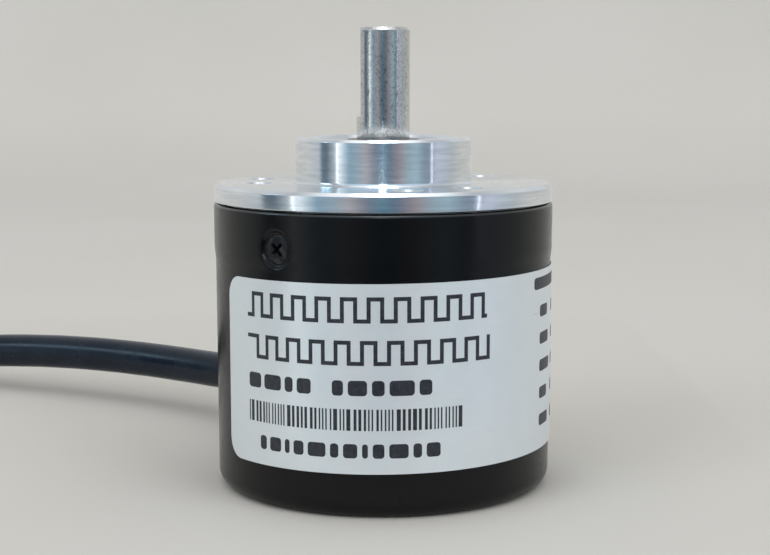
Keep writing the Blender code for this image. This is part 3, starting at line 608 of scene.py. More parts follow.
def pvc(name, tone, rough, shine=0.5):
    """Extruded cable plastic with a slightly uneven skin."""
    mat = Material(name)
    skin = mat.noise(scale=700.0, detail=3.0, roughness=0.55)
    grain = mat.noise(scale=5200.0, detail=2.0)
    scuff = mat.noise(scale=160.0, detail=4.0, roughness=0.6)
    light = tuple(min(1.0, channel * 1.35 + 0.004) for channel in tone)
    return mat.put(
        Base_Color=mat.mix(scuff.remap(span=(0.4, 0.75)), low=tone, high=light),
        Roughness=(skin.remap(span=(0.3, 0.7), to=(rough - 0.05, rough + 0.05))
                   + scuff.remap(span=(0.5, 0.75), to=(0.0, 0.08))),
        Specular_IOR_Level=shine,
        Normal=mat.bump(skin + grain * 0.3, depth=0.010, strength=0.5))


def moulded(name, tone, rough, grain_scale=4000.0, depth=0.008):
    mat = Material(name)
    grain = mat.noise(scale=grain_scale, detail=3.0, roughness=0.55)
    cloud = mat.noise(scale=180.0, detail=3.0)
    dark = tuple(channel * 0.84 for channel in tone)
    return mat.put(
        Base_Color=mat.mix(cloud.remap(span=(0.35, 0.7)), low=tone, high=dark),
        Roughness=grain.remap(span=(0.3, 0.7), to=(rough - 0.06, rough + 0.07)),
        Normal=mat.bump(grain, depth=depth, strength=0.5))


def green_board():
    """Solder mask over copper: the tracks show as lanes of another green."""
    mat = Material("green_board")
    x, y, _ = mat.split()
    weave = mat.voronoi(scale=900.0, vector=mat.join(x, y))
    lanes = mat.value("ShaderNodeTexBrick", {
        "Vector": mat.join(x * 1000.0, y * 1000.0), "Scale": 0.35, "Mortar Size": 0.035,
        "Brick Width": 1.7, "Row Height": 0.45,
    }, "Fac")
    tone = mat.mix(lanes, low=(0.010, 0.095, 0.035), high=(0.03, 0.20, 0.075))
    tone = mat.mix(weave.remap(span=(0.2, 0.6), to=(0.0, 0.2)), low=tone, high=(0.02, 0.12, 0.05))
    return mat.put(Base_Color=tone, Roughness=weave.remap(span=(0.1, 0.7), to=(0.28, 0.4)),
                   Normal=mat.bump(lanes, depth=0.02, strength=0.6))


def clear_epoxy(name, tone):
    mat = Material(name)
    swirl = mat.noise(scale=600.0, detail=3.0)
    dark = tuple(channel * 0.92 for channel in tone)
    return mat.put(
        Base_Color=mat.mix(swirl.remap(span=(0.35, 0.7)), low=tone, high=dark),
        Roughness=swirl.remap(span=(0.3, 0.7), to=(0.04, 0.12)), IOR=1.52,
        Transmission_Weight=0.85, Normal=mat.bump(swirl, depth=0.004, strength=0.3))


ALUMINIUM = turned_aluminium()
STEEL = ground_steel()
PAINT = black_paint()
ZINC = black_zinc()
FILM = silver_film()
INK = print_ink()
SHEATH = pvc("cable_pvc", tone=(0.0014, 0.0070, 0.0175), rough=0.22, shine=0.30)
RUBBER = moulded("black_rubber", tone=(0.012, 0.012, 0.012), rough=0.62, grain_scale=3000.0,
                 depth=0.012)
BEARING = plain_metal("bearing_steel", tone=(0.70, 0.70, 0.70), rough=0.16)
SHIELD = plain_metal("bearing_shield_steel", tone=(0.60, 0.60, 0.59), rough=0.24, variation=0.1,
                     groove_scale=4500.0)
SPRING = plain_metal("phosphated_spring", tone=(0.16, 0.16, 0.165), rough=0.34, variation=0.15)
BALLS = plain_metal("polished_balls", tone=(0.80, 0.80, 0.80), rough=0.06, variation=0.03,
                    groove_scale=3000.0, anisotropic=0.0)
BRASS = plain_metal("turned_brass", tone=(0.78, 0.56, 0.22), rough=0.22, variation=0.1,
                    groove_scale=5000.0)
CANNED = plain_metal("drawn_can", tone=(0.74, 0.75, 0.77), rough=0.24, variation=0.06)
ETCHED = plain_metal("etched_disc", tone=(0.52, 0.52, 0.53), rough=0.22, variation=0.08)
TINNED = plain_metal("tinned_strands", tone=(0.72, 0.72, 0.70), rough=0.25, variation=0.12,
                     groove_scale=3500.0)
NYLON = moulded("natural_nylon", tone=(0.72, 0.70, 0.60), rough=0.42)
CAGE = moulded("cage_nylon", tone=(0.60, 0.52, 0.34), rough=0.46)
MOULD = moulded("black_moulding", tone=(0.016, 0.016, 0.018), rough=0.5)
CHIP = moulded("chip_epoxy", tone=(0.022, 0.022, 0.023), rough=0.62, grain_scale=6000.0, depth=0.01)
BOARD = green_board()
EPOXY = clear_epoxy("clear_epoxy", tone=(0.80, 0.84, 0.90))
GLASS = clear_epoxy("mask_glass", tone=(0.55, 0.62, 0.66))
WIRES = {
    "red": pvc("wire_red_pvc", tone=(0.50, 0.012, 0.010), rough=0.38),
    "black": pvc("wire_black_pvc", tone=(0.010, 0.010, 0.011), rough=0.38),
    "green": pvc("wire_green_pvc", tone=(0.010, 0.20, 0.035), rough=0.38),
    "white": pvc("wire_white_pvc", tone=(0.78, 0.78, 0.75), rough=0.40),
}


# ------------------------------------------------------------------ housing
def housing_tools():
    """Threaded holes in the flange face, blind holes from inside and the cover screw holes."""
    tools = bmesh.new()
    threaded = [(0, 27.3), (1.1, 27.95)]
    threaded += thread(start=28.1, pitch=0.5, turns=11, root=1.25, crest=1.44)
    threaded += [(1.3, 33.55), (1.62, 34.0), (1.62, 35.0), (0, 35.0)]
    for circle_radius, azimuths in ((15.0, (40, 160, 280)), (14.0, (70, 190, 310))):
        for azimuth in azimuths:
            revolve(tools, threaded, even(40), upright(azimuth, circle_radius))
    for azimuth in (90, 210, 330):
        revolve(tools, blind_hole(radius=1.05, top=29.0, tip=0.3), even(24), upright(azimuth, 15.7))
    for azimuth in SCREW_AZIMUTHS:
        revolve(tools, [(0, 13.6), (0.82, 13.9), (0.82, 18.6), (0, 18.6)], even(24),
                radial(azimuth, SCREW_Z))
    for side, radius, top in ((4.2, 0.85, 27.9), (-4.2, 0.8, 26.6)):
        revolve(tools, blind_hole(radius, top, tip=0.2), even(24), upright(270, 13.2, side))
    return tools


def build_housing():
    outline = fillet([                  # radius, z, fillet radius
        (7.55, 38.38, 0.05), (8.17, BOSS_TOP, 0.10),
        (BOSS_RADIUS - BOSS_CHAMFER, BOSS_TOP, 0.08), (BOSS_RADIUS, BOSS_TOP - BOSS_CHAMFER, 0.08),
        (BOSS_RADIUS, FLANGE_TOP, 0.42), (BODY_RADIUS - FLANGE_CHAMFER, FLANGE_TOP, 0.08),
        (BODY_RADIUS, FLANGE_TOP - FLANGE_CHAMFER, 0.08), (BODY_RADIUS, FLANGE_LOW, 0.10),
        (17.9, FLANGE_LOW, 0.05), (17.9, 25.0, 0.35), (9.2, 25.0, 0.05), (9.2, 23.0, 0.1),
        (7.55, 23.0, 0.25), (7.55, 29.1, 0.05), (6.6, 29.1, 0.08), (6.6, 33.05, 0.08),
        (7.55, 33.05, 0.05),
    ], 5)
    obj = make("flange_housing_turned", turned(outline, 256), ALUMINIUM, 28)
    cut(obj, housing_tools(), sharp=28)
    place_piece(obj, "housing", "turned_aluminium", "flange_housing")


# ------------------------------------------------------------------ rear cover
def cover_radius(z):
    """Nearly straight up past the label, then opening towards the rim."""
    if z < FLARE_LOW:
        share = (z - COVER_CORNER) / (FLARE_LOW - COVER_CORNER)
        return COVER_FOOT_RADIUS + (COVER_RADIUS - COVER_FOOT_RADIUS) * share
    flare = smooth_step((z - FLARE_LOW) / (FLARE_HIGH - FLARE_LOW))
    drift = RIM_DRIFT * max(0.0, z - FLARE_HIGH) / (COVER_TOP - FLARE_HIGH)
    return COVER_RADIUS + (COVER_RIM_RADIUS - RIM_DRIFT - COVER_RADIUS) * flare + drift


def refined(low, high, coarse, zones):
    """Numbers from low to high, with steps made finer inside each (start, end, step) zone."""
    found = [low]
    while found[-1] < high - 1e-9:
        step = coarse
        for start, end, fine in zones:
            if start - 1e-9 <= found[-1] < end - 1e-9:
                step = min(step, fine)
            elif found[-1] < start < found[-1] + step:
                step = start - found[-1]
        found.append(min(high, found[-1] + step))
    return found


def cover_angles():
    """Angles of the cover's columns, close together at the dimples and the cable hole."""
    zones = [(azimuth - 8.8, azimuth + 8.8, 0.4) for azimuth in SCREW_AZIMUTHS]
    zones.append((CABLE_AZIMUTH - 11, CABLE_AZIMUTH + 11, 1.0))
    marks = sorted(set(refined(0.0, 360.0, 2.0, zones)[:-1]) | {90.0, 180.0, 270.0})
    spaced = [marks[0]]
    for mark in marks[1:]:
        if mark - spaced[-1] > 0.05:
            spaced.append(mark)
    return [math.radians(mark) for mark in spaced]


def cover_outline():
    rim = COVER_TOP - COVER_RIM_FILLET
    outline = [(0, 0), (6, 0), (11, 0), (14.5, 0)]
    outline += arc(COVER_FOOT_RADIUS - COVER_CORNER, COVER_CORNER, COVER_CORNER, -90, 0, 16)
    rows = refined(COVER_CORNER, rim, 2.0, [(5.0, 12.6, 0.5), (25.4, 30.9, 0.14)])[1:]
    outline += [(cover_radius(z), z) for z in rows]
    outline += arc(COVER_RIM_RADIUS - COVER_RIM_FILLET, rim, COVER_RIM_FILLET, 0, 90, 8)[1:]
    outline += [(COVER_BORE + 0.1, COVER_TOP), (COVER_BORE, COVER_TOP - 0.1),
                (COVER_BORE, 25.0), (COVER_BORE, 14.0)]
    outline += arc(COVER_BORE - COVER_INNER_FILLET, COVER_FLOOR + COVER_INNER_FILLET,
                   COVER_INNER_FILLET, 0, -90, 8)
    return outline + [(8.0, COVER_FLOOR), (0, COVER_FLOOR)]


def press_dimples(mesh):
    """Pushes the outer wall in round each cover screw."""
    for azimuth in SCREW_AZIMUTHS:
        out, side = directions(azimuth)
        for vert in mesh.verts:
            spot = vert.co / MM
            outward = spot.dot(out)
            distance = math.hypot(spot.dot(side), spot.z - SCREW_Z)
            if outward < 18.2 or distance >= DIMPLE_EDGE:
                continue
            slope = smooth_step((distance - DIMPLE_FLAT) / (DIMPLE_EDGE - DIMPLE_FLAT))
            vert.co += out * ((DIMPLE_DEPTH_RADIUS - outward) * (1 - slope)) * MM


def build_cover():
    mesh = bmesh.new()
    revolve(mesh, cover_outline(), cover_angles())
    press_dimples(mesh)
    obj = make("rear_cover_drawn", mesh, PAINT, 40)
    tools = bmesh.new()
    screw_hole = [(0, 17.2), (1.12, 17.2), (1.12, 18.12), (1.60, 18.68), (0, 18.68)]
    for azimuth in SCREW_AZIMUTHS:
        revolve(tools, screw_hole, even(40), radial(azimuth, SCREW_Z))
    revolve(tools, plug(3.15, 16.5, 20), even(64), radial(CABLE_AZIMUTH, CABLE_Z))
    cut(obj, tools, sharp=40)
    place_piece(obj, "housing", "black_paint", "rear_cover")


def build_cover_screws():
    outline = [(0, 14.2), (0.45, 14.2), (0.66, 14.45)]      # radius, distance from the axis
    outline += thread(start=14.6, pitch=0.4, turns=8, root=0.62, crest=0.74)
    outline += [(0.70, 17.8), (0.95, 18.05), (1.47, 18.47), (1.52, 18.53), (1.50, 18.57),
                (1.40, 18.615), (1.1, 18.67), (0.7, 18.71), (0.3, 18.73), (0, 18.735)]
    for number, (azimuth, turn) in enumerate(zip(SCREW_AZIMUTHS, SLOT_TURNS), 1):
        solid = turned(outline, 64, radial(azimuth, SCREW_Z))
        obj = make(f"cover_screw_{number}_head", solid, ZINC, 30)
        slot = loft(cross(0.36, 0.10), cross(0.98, 0.21), 18.02, 18.87,
                    radial(azimuth, SCREW_Z, turn))
        cut(obj, slot, sharp=30)
        place_piece(obj, "housing", "black_screws", f"cover_screw_{number}")


# ------------------------------------------------------------------ label and its print
# The label is drawn flat, x along it from its left edge and y as height, then wrapped on the body.
def wrap(along, height, radius):
    angle = math.radians(LABEL_START) + along / LABEL_IN
    tilt = LABEL_TILT * (angle - 1.5 * math.pi)
    return Vector((radius * math.cos(angle), radius * math.sin(angle), height + tilt)) * MM


def label_x(degrees):
    """Position along the label of an angle counted from the front."""
    return (math.radians(270 + degrees) - math.radians(LABEL_START)) * LABEL_IN


def sliced_sheet(outline, start, end, step):
    """Flat face cut across into narrow strips, so that it follows the curve of the body."""
    mesh = bmesh.new()
    mesh.faces.new([mesh.verts.new((x, y, 0)) for x, y in outline])
    x = start + step
    while x < end:
        bmesh.ops.bisect_plane(mesh, geom=mesh.verts[:] + mesh.edges[:] + mesh.faces[:],
                               plane_co=(x, 0, 0), plane_no=(1, 0, 0), dist=1e-6)
        x += step
    return mesh


def wrap_sheet(mesh, inner, outer):
    """Gives the flat sheet a body between two radii."""
    top = set(extrude_sheet(mesh))
    for vert in mesh.verts:
        vert.co = wrap(vert.co.x, vert.co.y, outer if vert in top else inner)


def build_label():
    length = math.radians(LABEL_END - LABEL_START) * LABEL_IN
    outline = rounded_box(0, length, LABEL_LOW, LABEL_HIGH, LABEL_CORNER, 12)
    mesh = sliced_sheet(outline, 0, length, LABEL_STRIP)
    wrap_sheet(mesh, LABEL_IN, LABEL_OUT)
    obj = make("rating_label_film", mesh, FILM, 40)
    place_piece(obj, "housing", "silver_label_film", "rating_label")


class Print:
    """Ink marks: flat cells on the label, wrapped and given a thin closed body."""

    def __init__(self):
        self.mesh = bmesh.new()
        self.points = {}

    def vert(self, x, y):
        key = (round(x, 4), round(y, 4))
        if key not in self.points:
            self.points[key] = self.mesh.verts.new((*key, 0))
        return self.points[key]

    def cell(self, start, end, low, high):
        """Rectangle in narrow strips that share corners with their neighbours."""
        count = max(1, math.ceil((end - start) / INK_STRIP))
        for i in range(count):
            left = start + (end - start) * i / count
            right = start + (end - start) * (i + 1) / count
            self.mesh.faces.new([self.vert(left, low), self.vert(right, low),
                                 self.vert(right, high), self.vert(left, high)])

    def bar(self, start, end, low, high, radius):
        """Bar with rounded corners."""
        radius = min(radius, (end - start) / 2)
        part = sliced_sheet(rounded_box(start, end, low, high, radius, 4), start, end, INK_STRIP)
        copies = {vert: self.mesh.verts.new(vert.co) for vert in part.verts}
        for face in part.faces:
            self.mesh.faces.new([copies[vert] for vert in face.verts])
        part.free()

    def wave(self, start, end, low, high, shift):
        """Square pulse trace between two heights, its first edge at the shift."""
        half = PULSE_PERIOD / 2
        levels = ((low, low + PULSE_STROKE), (high - PULSE_STROKE, high))
        raised = math.floor(-shift / half) % 2 == 0
        cursor = start
        edge = start + shift
        while edge < end - PULSE_STROKE:
            self.cell(cursor, edge, *levels[raised])
            cursor = edge + PULSE_STROKE
            self.cell(edge, cursor, *levels[0])
            self.cell(edge, cursor, low + PULSE_STROKE, high - PULSE_STROKE)
            self.cell(edge, cursor, *levels[1])
            raised = not raised
            edge += half
        self.cell(cursor, end, *levels[raised])

    def finish(self, name):
        bmesh.ops.recalc_face_normals(self.mesh, faces=self.mesh.faces)
        wrap_sheet(self.mesh, LABEL_OUT - INK_SINK, LABEL_OUT + INK_RISE)
        place_piece(make(name, self.mesh, INK, 40), "housing", "silver_label_film")


def print_pulse_traces():
    ink = Print()
    start, end = label_x(-49.0), label_x(34.6)
    ink.wave(start, end, low=20.75, high=23.45, shift=PULSE_SHIFT)
    ink.wave(start, end + 0.4, low=16.35, high=18.95, shift=PULSE_SHIFT + PULSE_PERIOD / 4)
    ink.finish("label_pulse_traces")


def print_blocks():
    ink = Print()
    for degrees, lengths in ((-48.5, (1.9, 2.3, 1.0, 1.65)), (-16.2, (1.2, 2.0, 1.3, 2.6, 1.35))):
        x = label_x(degrees)
        for length in lengths:
            ink.bar(x, x + length, low=13.2, high=14.8, radius=0.38)
            x += length + BLOCK_GAP
    ink.finish("label_blocks")


def print_index_bars():
    ink = Print()
    widths = (0.16, 0.16, 0.30, 0.16, 0.24, 0.42, 0.16, 0.30)
    gaps = (0.20, 0.26, 0.20, 0.34)
    x, end = label_x(-48.5), label_x(26.2)
    i = 0
    while x < end - 0.45:
        width = widths[(i * 5 + i // 8) % len(widths)]
        ink.cell(x, x + width, low=9.55, high=11.8)
        x += width + gaps[(i * 3 + i // 5) % len(gaps)]
        i += 1
    ink.finish("label_index_bars")


def print_foot_blocks():
    ink = Print()
    lengths = (0.9, 1.5, 0.6, 1.2, 2.0)
    x, end = label_x(-43.2), label_x(20.4)
    i = 0
    while x < end - 1.0:
        length = lengths[i % len(lengths)]
        ink.bar(x, min(x + length, end), low=6.65, high=8.15, radius=0.34)
        x += length + BLOCK_GAP
        i += 1
    ink.finish("label_foot_blocks")


def print_wiring_rows():
    """A heading bar over five rows in two columns, at the right end of the label."""
    ink = Print()
    left = label_x(63.5)
    right = left + 5.0
    ink.bar(left - 1.6, left + 9.0, low=22.7, high=24.0, radius=0.4)
    for row in range(5):
        top = 20.9 - row * 3.02
        for start, length in ((left, 2.6 + 0.5 * (row % 3)), (right, 2.4 + 0.8 * ((row + 1) % 2))):
            ink.bar(start, start + length, low=top - 1.3, high=top, radius=0.35)
    ink.finish("label_wiring_rows")


# ------------------------------------------------------------------ cable
OUT, SIDE = directions(CABLE_AZIMUTH)
UP = Vector((0, 0, 1))


def cable_line(steps):
    """Centre line from the end of the straight part, round to the left and down to the bench."""
    knots = [OUT * CABLE_WALL + UP * CABLE_Z, OUT * CABLE_STRAIGHT + UP * CABLE_Z]
    return spline(knots + [Vector(point) for point in CABLE_PATH], steps)[steps:]


def build_jacket():
    straight = [OUT * (CABLE_START + (CABLE_STRAIGHT - CABLE_START) * i / 12) + UP * CABLE_Z
                for i in range(12)]
    stations = stations_of(straight + cable_line(14), SIDE)
    last = len(stations) - 1

    def radius(i, angle):
        edge = 1.0 if 0 < i < last else 0.965
        return CABLE_RADIUS * edge * (1 - 0.004 * (0.5 + 0.5 * math.sin(i * 0.7 + 2 * angle)))

    obj = make("cable_jacket_extruded", tube(stations, radius, 48, CABLE_BORE), SHEATH, 50)
    place_piece(obj, "housing", "black_cable_sheath", "cable_jacket")


def wire_path(line, offset, rise, lane):
    """One wire: fanned out inside the cover, along the cable, fanned out past its end."""
    inside = [OUT * out + UP * (z + rise * (1 - fan)) + SIDE * (offset + (lane - offset) * fan)
              for out, z, fan in reversed(INNER_WIRES)]
    # a station's third vector points down all along the cable
    along = [centre + across * offset - down * rise
             for centre, across, down in stations_of(line, SIDE)]
    end = line[-1]
    end_out = end - line[-2]
    end_out.z = 0
    end_out.normalize()
    end_side = Vector((-end_out.y, end_out.x, 0))
    loose = []
    for i in range(1, LOOSE_STEPS + 1):
        fan = smooth_step(i / LOOSE_STEPS)
        loose.append(end + end_out * (LOOSE_LENGTH * i / LOOSE_STEPS)
                     + end_side * (offset + (lane * LOOSE_LANE_FACTOR - offset) * fan)
                     + UP * (rise * (1 - fan) + (LOOSE_END_Z - end.z) * fan))
    return spline(inside + along[:1], 3)[:-1] + along + loose


def strands(path, radius, twist):
    """Bundle of seven strands, turning by twist radians of strand phase per station."""
    def radius_at(i, angle):
        return radius * (1 + 0.10 * math.cos(7 * angle - i * twist))

    return tube(stations_of(path, SIDE), radius_at, 42)


def insulation(path):
    last = len(path) - 1
    return tube(stations_of(path, SIDE), lambda i, angle: 0.425 if 0 < i < last else 0.40, 20)


def build_wires():
    line = [OUT * CABLE_START + UP * CABLE_Z, OUT * CABLE_WALL + UP * CABLE_Z] + cable_line(5)
    for order, (colour, degrees) in enumerate(CORES):
        offset = CORE_PITCH_RADIUS * math.cos(math.radians(degrees))
        rise = CORE_PITCH_RADIUS * math.sin(math.radians(degrees))
        path = wire_path(line, offset, rise, lane=(order - 2) * LANE_STEP)
        if colour == "drain":
            obj = make("drain_wire_strands", strands(path, radius=0.29, twist=0.8), TINNED, 60)
            place_piece(obj, "housing", "tinned_copper", "drain_wire")
            continue
        name = f"wire_{colour}"
        obj = make(f"{name}_insulated", insulation(path[:-BARE_STEPS]), WIRES[colour], 50)
        place_piece(obj, "housing", name, name)
        tip = strands(spline(path[-BARE_STEPS - 1:], 4), radius=0.27, twist=0.45)
        place_piece(make(f"{name}_strands", tip, TINNED, 60), "housing", "tinned_copper")


def build_grommet():
    outline = fillet([                  # radius, distance from the axis, fillet radius
        (2.46, 16.0, 0.1), (3.95, 16.0, 0.3), (3.95, 17.5, 0.25), (3.06, 17.5, 0.1),
        (3.06, 19.08, 0.1), (3.8, 19.08, 0.12), (3.8, 20.25, 0.45), (3.38, 20.5, 0.2),
        (3.33, 21.2, 0.12), (3.08, 21.25, 0.08), (3.08, 21.6, 0.08), (3.25, 21.65, 0.12),
        (3.18, 22.3, 0.12), (2.95, 22.35, 0.08), (2.95, 22.65, 0.08), (3.08, 22.7, 0.12),
        (2.97, 23.4, 0.25), (2.45, 23.4, 0.12),
    ])
    solid = turned(outline, 96, radial(CABLE_AZIMUTH, CABLE_Z))
    obj = make("cable_grommet_moulded", solid, RUBBER, 45)
    place_piece(obj, "housing", "black_rubber", "cable_grommet")


# ------------------------------------------------------------------ shaft and bearings
def build_shaft():
    outline = fillet([                  # radius, z, fillet radius
        (0, 18.35, 0), (2.7, 18.35, 0.05), (SHAFT_RADIUS, 18.65, 0.05),
        (SHAFT_RADIUS, 38.2, 0.03), (2.75, 38.2, 0), (2.75, 38.9, 0), (SHAFT_RADIUS, 38.9, 0.03),
        (SHAFT_RADIUS, 50.86, 0.06), (2.68, 51.2, 0.06), (0, 51.2, 0),
    ])
    obj = make("shaft_ground", turned(outline, 160), STEEL, 28)
    block = [(-6, -6), (SHAFT_FLAT, -6), (SHAFT_FLAT, 6), (-6, 6)]
    cut(obj, loft(block, block, 41.3, 54.0), sharp=20)
    place_piece(obj, "rotor", "ground_steel", "shaft")


def build_retaining_ring():
    """External circlip: wide opposite its gap, which is at the back, with two eyed lugs."""
    mesh = bmesh.new()
    gap = math.radians(RING_HALF_GAP)
    pairs = []
    for i in range(RING_STEPS + 1):
        angle = gap + (2 * math.pi - 2 * gap) * i / RING_STEPS
        width = 1.02 + 0.33 * (1 - math.cos(angle)) / 2
        pairs.append([
            mesh.verts.new((radius * math.cos(angle) * MM, radius * math.sin(angle) * MM,
                            RING_LOW * MM))
            for radius in (RING_BORE, RING_BORE + width)
        ])
    for (inner, outer), (next_inner, next_outer) in zip(pairs, pairs[1:]):
        mesh.faces.new((inner, outer, next_outer, next_inner))
    top = extrude_sheet(mesh)
    bmesh.ops.translate(mesh, verts=top, vec=(0, 0, (RING_HIGH - RING_LOW) * MM))
    turn = Matrix.Rotation(math.radians(90), 4, "Z")
    bmesh.ops.transform(mesh, matrix=turn, verts=mesh.verts)
    obj = make("retaining_ring_stamped", mesh, SPRING, 30)
    lug = plug(0.74, RING_LOW + 0.005, RING_HIGH - 0.005)
    for azimuth in LUG_AZIMUTHS:
        cut(obj, turned(lug, 40, upright(azimuth, 3.62)), "UNION", 30)
    eyes = bmesh.new()
    for azimuth in LUG_AZIMUTHS:
        revolve(eyes, plug(0.36, RING_LOW - 1, RING_HIGH + 1), even(28), upright(azimuth, 3.66))
    cut(obj, eyes, sharp=30)
    bevel_edges(obj, "edge", 0.035)
    place_piece(obj, "rotor", "spring_steel", "retaining_ring")


def build_bearings():
    half = BEARING_HALF
    # outlines as radius, height over the bearing's middle towards its shield
    outer = (
        fillet([(7.5, -half, 0.25), (7.5, half, 0.25), (6.75, half, 0.08), (6.75, 1.9, 0.03),
                (6.12, 1.9, 0.05)])
        + arc(BALL_PITCH_RADIUS, 0, GROOVE_RADIUS, 44, -44, 12)
        + fillet([(6.12, -0.95, 0), (6.12, -half, 0.1), (6.3, -half, 0)])
    )
    inner = (
        fillet([(3.05, -half, 0.15), (4.33, -half, 0.1), (4.33, -0.86, 0)])
        + arc(BALL_PITCH_RADIUS, 0, GROOVE_RADIUS, 220, 140, 12)
        + fillet([(4.33, 0.86, 0), (4.33, half, 0.1), (3.05, half, 0.15)])
    )
    shield = fillet([
        (4.47, 2.12, 0.05), (5.7, 2.12, 0.3), (6.2, 1.98, 0.2), (6.70, 1.98, 0.08),
        (6.70, 2.28, 0.12), (6.35, 2.36, 0.1), (6.15, 2.30, 0.2), (5.8, 2.36, 0.3),
        (4.47, 2.36, 0.08),
    ])
    pieces = (      # object, CAD node, outline, sides, material, sharp angle, body
        ("outer_race", "outer_ring", outer, 144, BEARING, 30, "housing"),
        ("inner_race", "inner_ring", inner, 96, BEARING, 30, "rotor"),
        ("shield_pressed", "shield", shield, 144, SHIELD, 40, "housing"),
    )
    for end, middle, facing in (("front", 35.6, 1), ("rear", 25.9, -1)):
        for name, node, outline, sides, material, sharp, body in pieces:
            solid = turned([(radius, middle + facing * z) for radius, z in outline], sides)
            obj = make(f"{end}_bearing_{name}", solid, material, sharp)
            place_piece(obj, body, "bearing_steel", f"{end}_bearing_{node}")


# ------------------------------------------------------------------ pieces kept from the CAD
CAD_FINISHES = {
    "cable_tie": NYLON, "wire_header": NYLON, "wire_plug": NYLON, "encoder_board": BOARD,
    "led_holder": MOULD, "infrared_led": EPOXY, "phase_mask": GLASS, "photo_detector": CHIP,
    "comparator_chip": CHIP, "voltage_regulator": CHIP, "smoothing_capacitor": CANNED,
    "preload_wave_washer": SPRING, "disc_hub": BRASS, "hub_grub_screw": ZINC,
    "code_disc": ETCHED, "led_holder_screw": ZINC,
}
CAD_BEVELS = {
    "wire_header": 0.2, "wire_plug": 0.15, "led_holder": 0.2, "photo_detector": 0.15,
    "comparator_chip": 0.06, "voltage_regulator": 0.06, "encoder_board": 0.08,
    "board_post_1": 0.1, "board_post_2": 0.1, "board_post_3": 0.1,
}


def finish_cad_nodes():
    finishes = dict(CAD_FINISHES)
    for name in NODES.keys():
        if name.startswith("board_post"):
            finishes[name] = BRASS
        elif name.startswith("board_screw"):
            finishes[name] = ZINC
        elif "_ball_cage" in name:
            finishes[name] = CAGE
        elif "_ball_" in name:
            finishes[name] = BALLS
    for name, material in finishes.items():
        data = NODES[name].data
        data.materials.clear()
        data.materials.append(material)
        smooth(data, 60 if "_ball_" in name and "cage" not in name else 32)
    for name, width in CAD_BEVELS.items():
        bevel_edges(NODES[name], "soft_edges", width)


# ------------------------------------------------------------------ stage, light and camera
def pale_stage():
    mat = Material("pale_stage")
    cloud = mat.noise(scale=9.0, detail=3.0)
    tone = mat.mix(cloud.remap(span=(0.3, 0.7)),
                   low=(0.640, 0.634, 0.607), high=(0.668, 0.660, 0.637))
    # painted light: the sheet is painted slightly brighter where it starts to rise
    height = mat.split()[2]
    painted_light_lift = (height.remap(span=(0.0, 0.03), to=(1.0, 1.04))
            - height.remap(span=(0.03, 0.08), to=(0.0, 0.04)))
    scaled = mat.value("ShaderNodeVectorMath", {0: tone, "Scale": painted_light_lift}, operation="SCALE")
    return mat.put(Base_Color=scaled, Roughness=0.75, Specular_IOR_Level=0.2)


def open_sheet(name, mesh, material):
    data = bpy.data.meshes.new(name)
    mesh.to_mesh(data)
    mesh.free()
    data.materials.append(material)
    return add_object(name, data)


def build_stage():
    material = pale_stage()
    mesh = bmesh.new()
    # y, z of the sheet: flat bench, quarter bend, back wall
    profile = [(-1.6, 0.0)] + arc(0.42, 0.25, 0.25, -90, 0, 16) + [(0.67, 1.3)]
    left, right = [[mesh.verts.new((x, y, z)) for y, z in profile] for x in (-1.6, 1.6)]
    for i in range(len(profile) - 1):
        mesh.faces.new((left[i], right[i], right[i + 1], left[i + 1]))
    sheet = open_sheet("stage_sheet", mesh, material)
    sheet.data.shade_smooth()
    sheet.visible_glossy = False
    # the bench right under and beside the object is what its foot and the cable reflect
    mesh = bmesh.new()
    corners = [(-0.13, -0.042), (0.046, -0.042), (0.046, 0.12), (-0.13, 0.12)]
    mesh.faces.new([mesh.verts.new((x, y, 0.00002)) for x, y in corners])
    patch = open_sheet("near_bench", mesh, material)
    patch.visible_camera = False
    patch.visible_diffuse = False
    patch.visible_shadow = False


ROOM_COLOURS = (        # degrees from the front, growing towards +X; colour at the horizon
    (-180, (0.64, 0.64, 0.62)), (-112, (0.64, 0.64, 0.62)), (-98, (0.56, 0.60, 0.62)),
    (-90, (0.54, 0.58, 0.61)), (-85, (0.12, 0.17, 0.21)), (-77, (0.10, 0.14, 0.18)),
    (-71, (0.28, 0.33, 0.37)), (-65, (0.46, 0.51, 0.55)), (-58, (0.96, 1.04, 1.09)),
    (-51, (0.54, 0.66, 0.74)), (-44, (0.26, 0.39, 0.49)), (-33, (0.33, 0.43, 0.49)),
    (-22, (0.45, 0.42, 0.44)), (-11, (0.21, 0.23, 0.29)), (-3, (0.09, 0.20, 0.28)),
    (2, (0.09, 0.19, 0.27)), (8, (0.12, 0.18, 0.25)), (18, (0.28, 0.25, 0.29)),
    (24, (0.36, 0.33, 0.35)), (31, (0.34, 0.42, 0.48)), (43, (0.37, 0.52, 0.60)),
    (54, (0.26, 0.33, 0.40)), (63, (0.24, 0.29, 0.38)), (72, (0.56, 0.60, 0.72)),
    (88, (0.50, 0.56, 0.62)), (98, (0.50, 0.54, 0.56)), (112, (0.60, 0.60, 0.58)),
    (180, (0.64, 0.64, 0.62)),
)


def room_ramp(graph, around):
    ramp = graph.node("ShaderNodeValToRGB", {0: around})
    elements = ramp.color_ramp.elements
    while len(elements) > 1:
        elements.remove(elements[-1])
    for i, (degrees, colour) in enumerate(ROOM_COLOURS):
        position = 0.5 + degrees / 360.0
        element = elements[0] if i == 0 else elements.new(position)
        element.position = position
        element.color = (*colour, 1.0)
    return Value(graph, ramp.outputs[0])


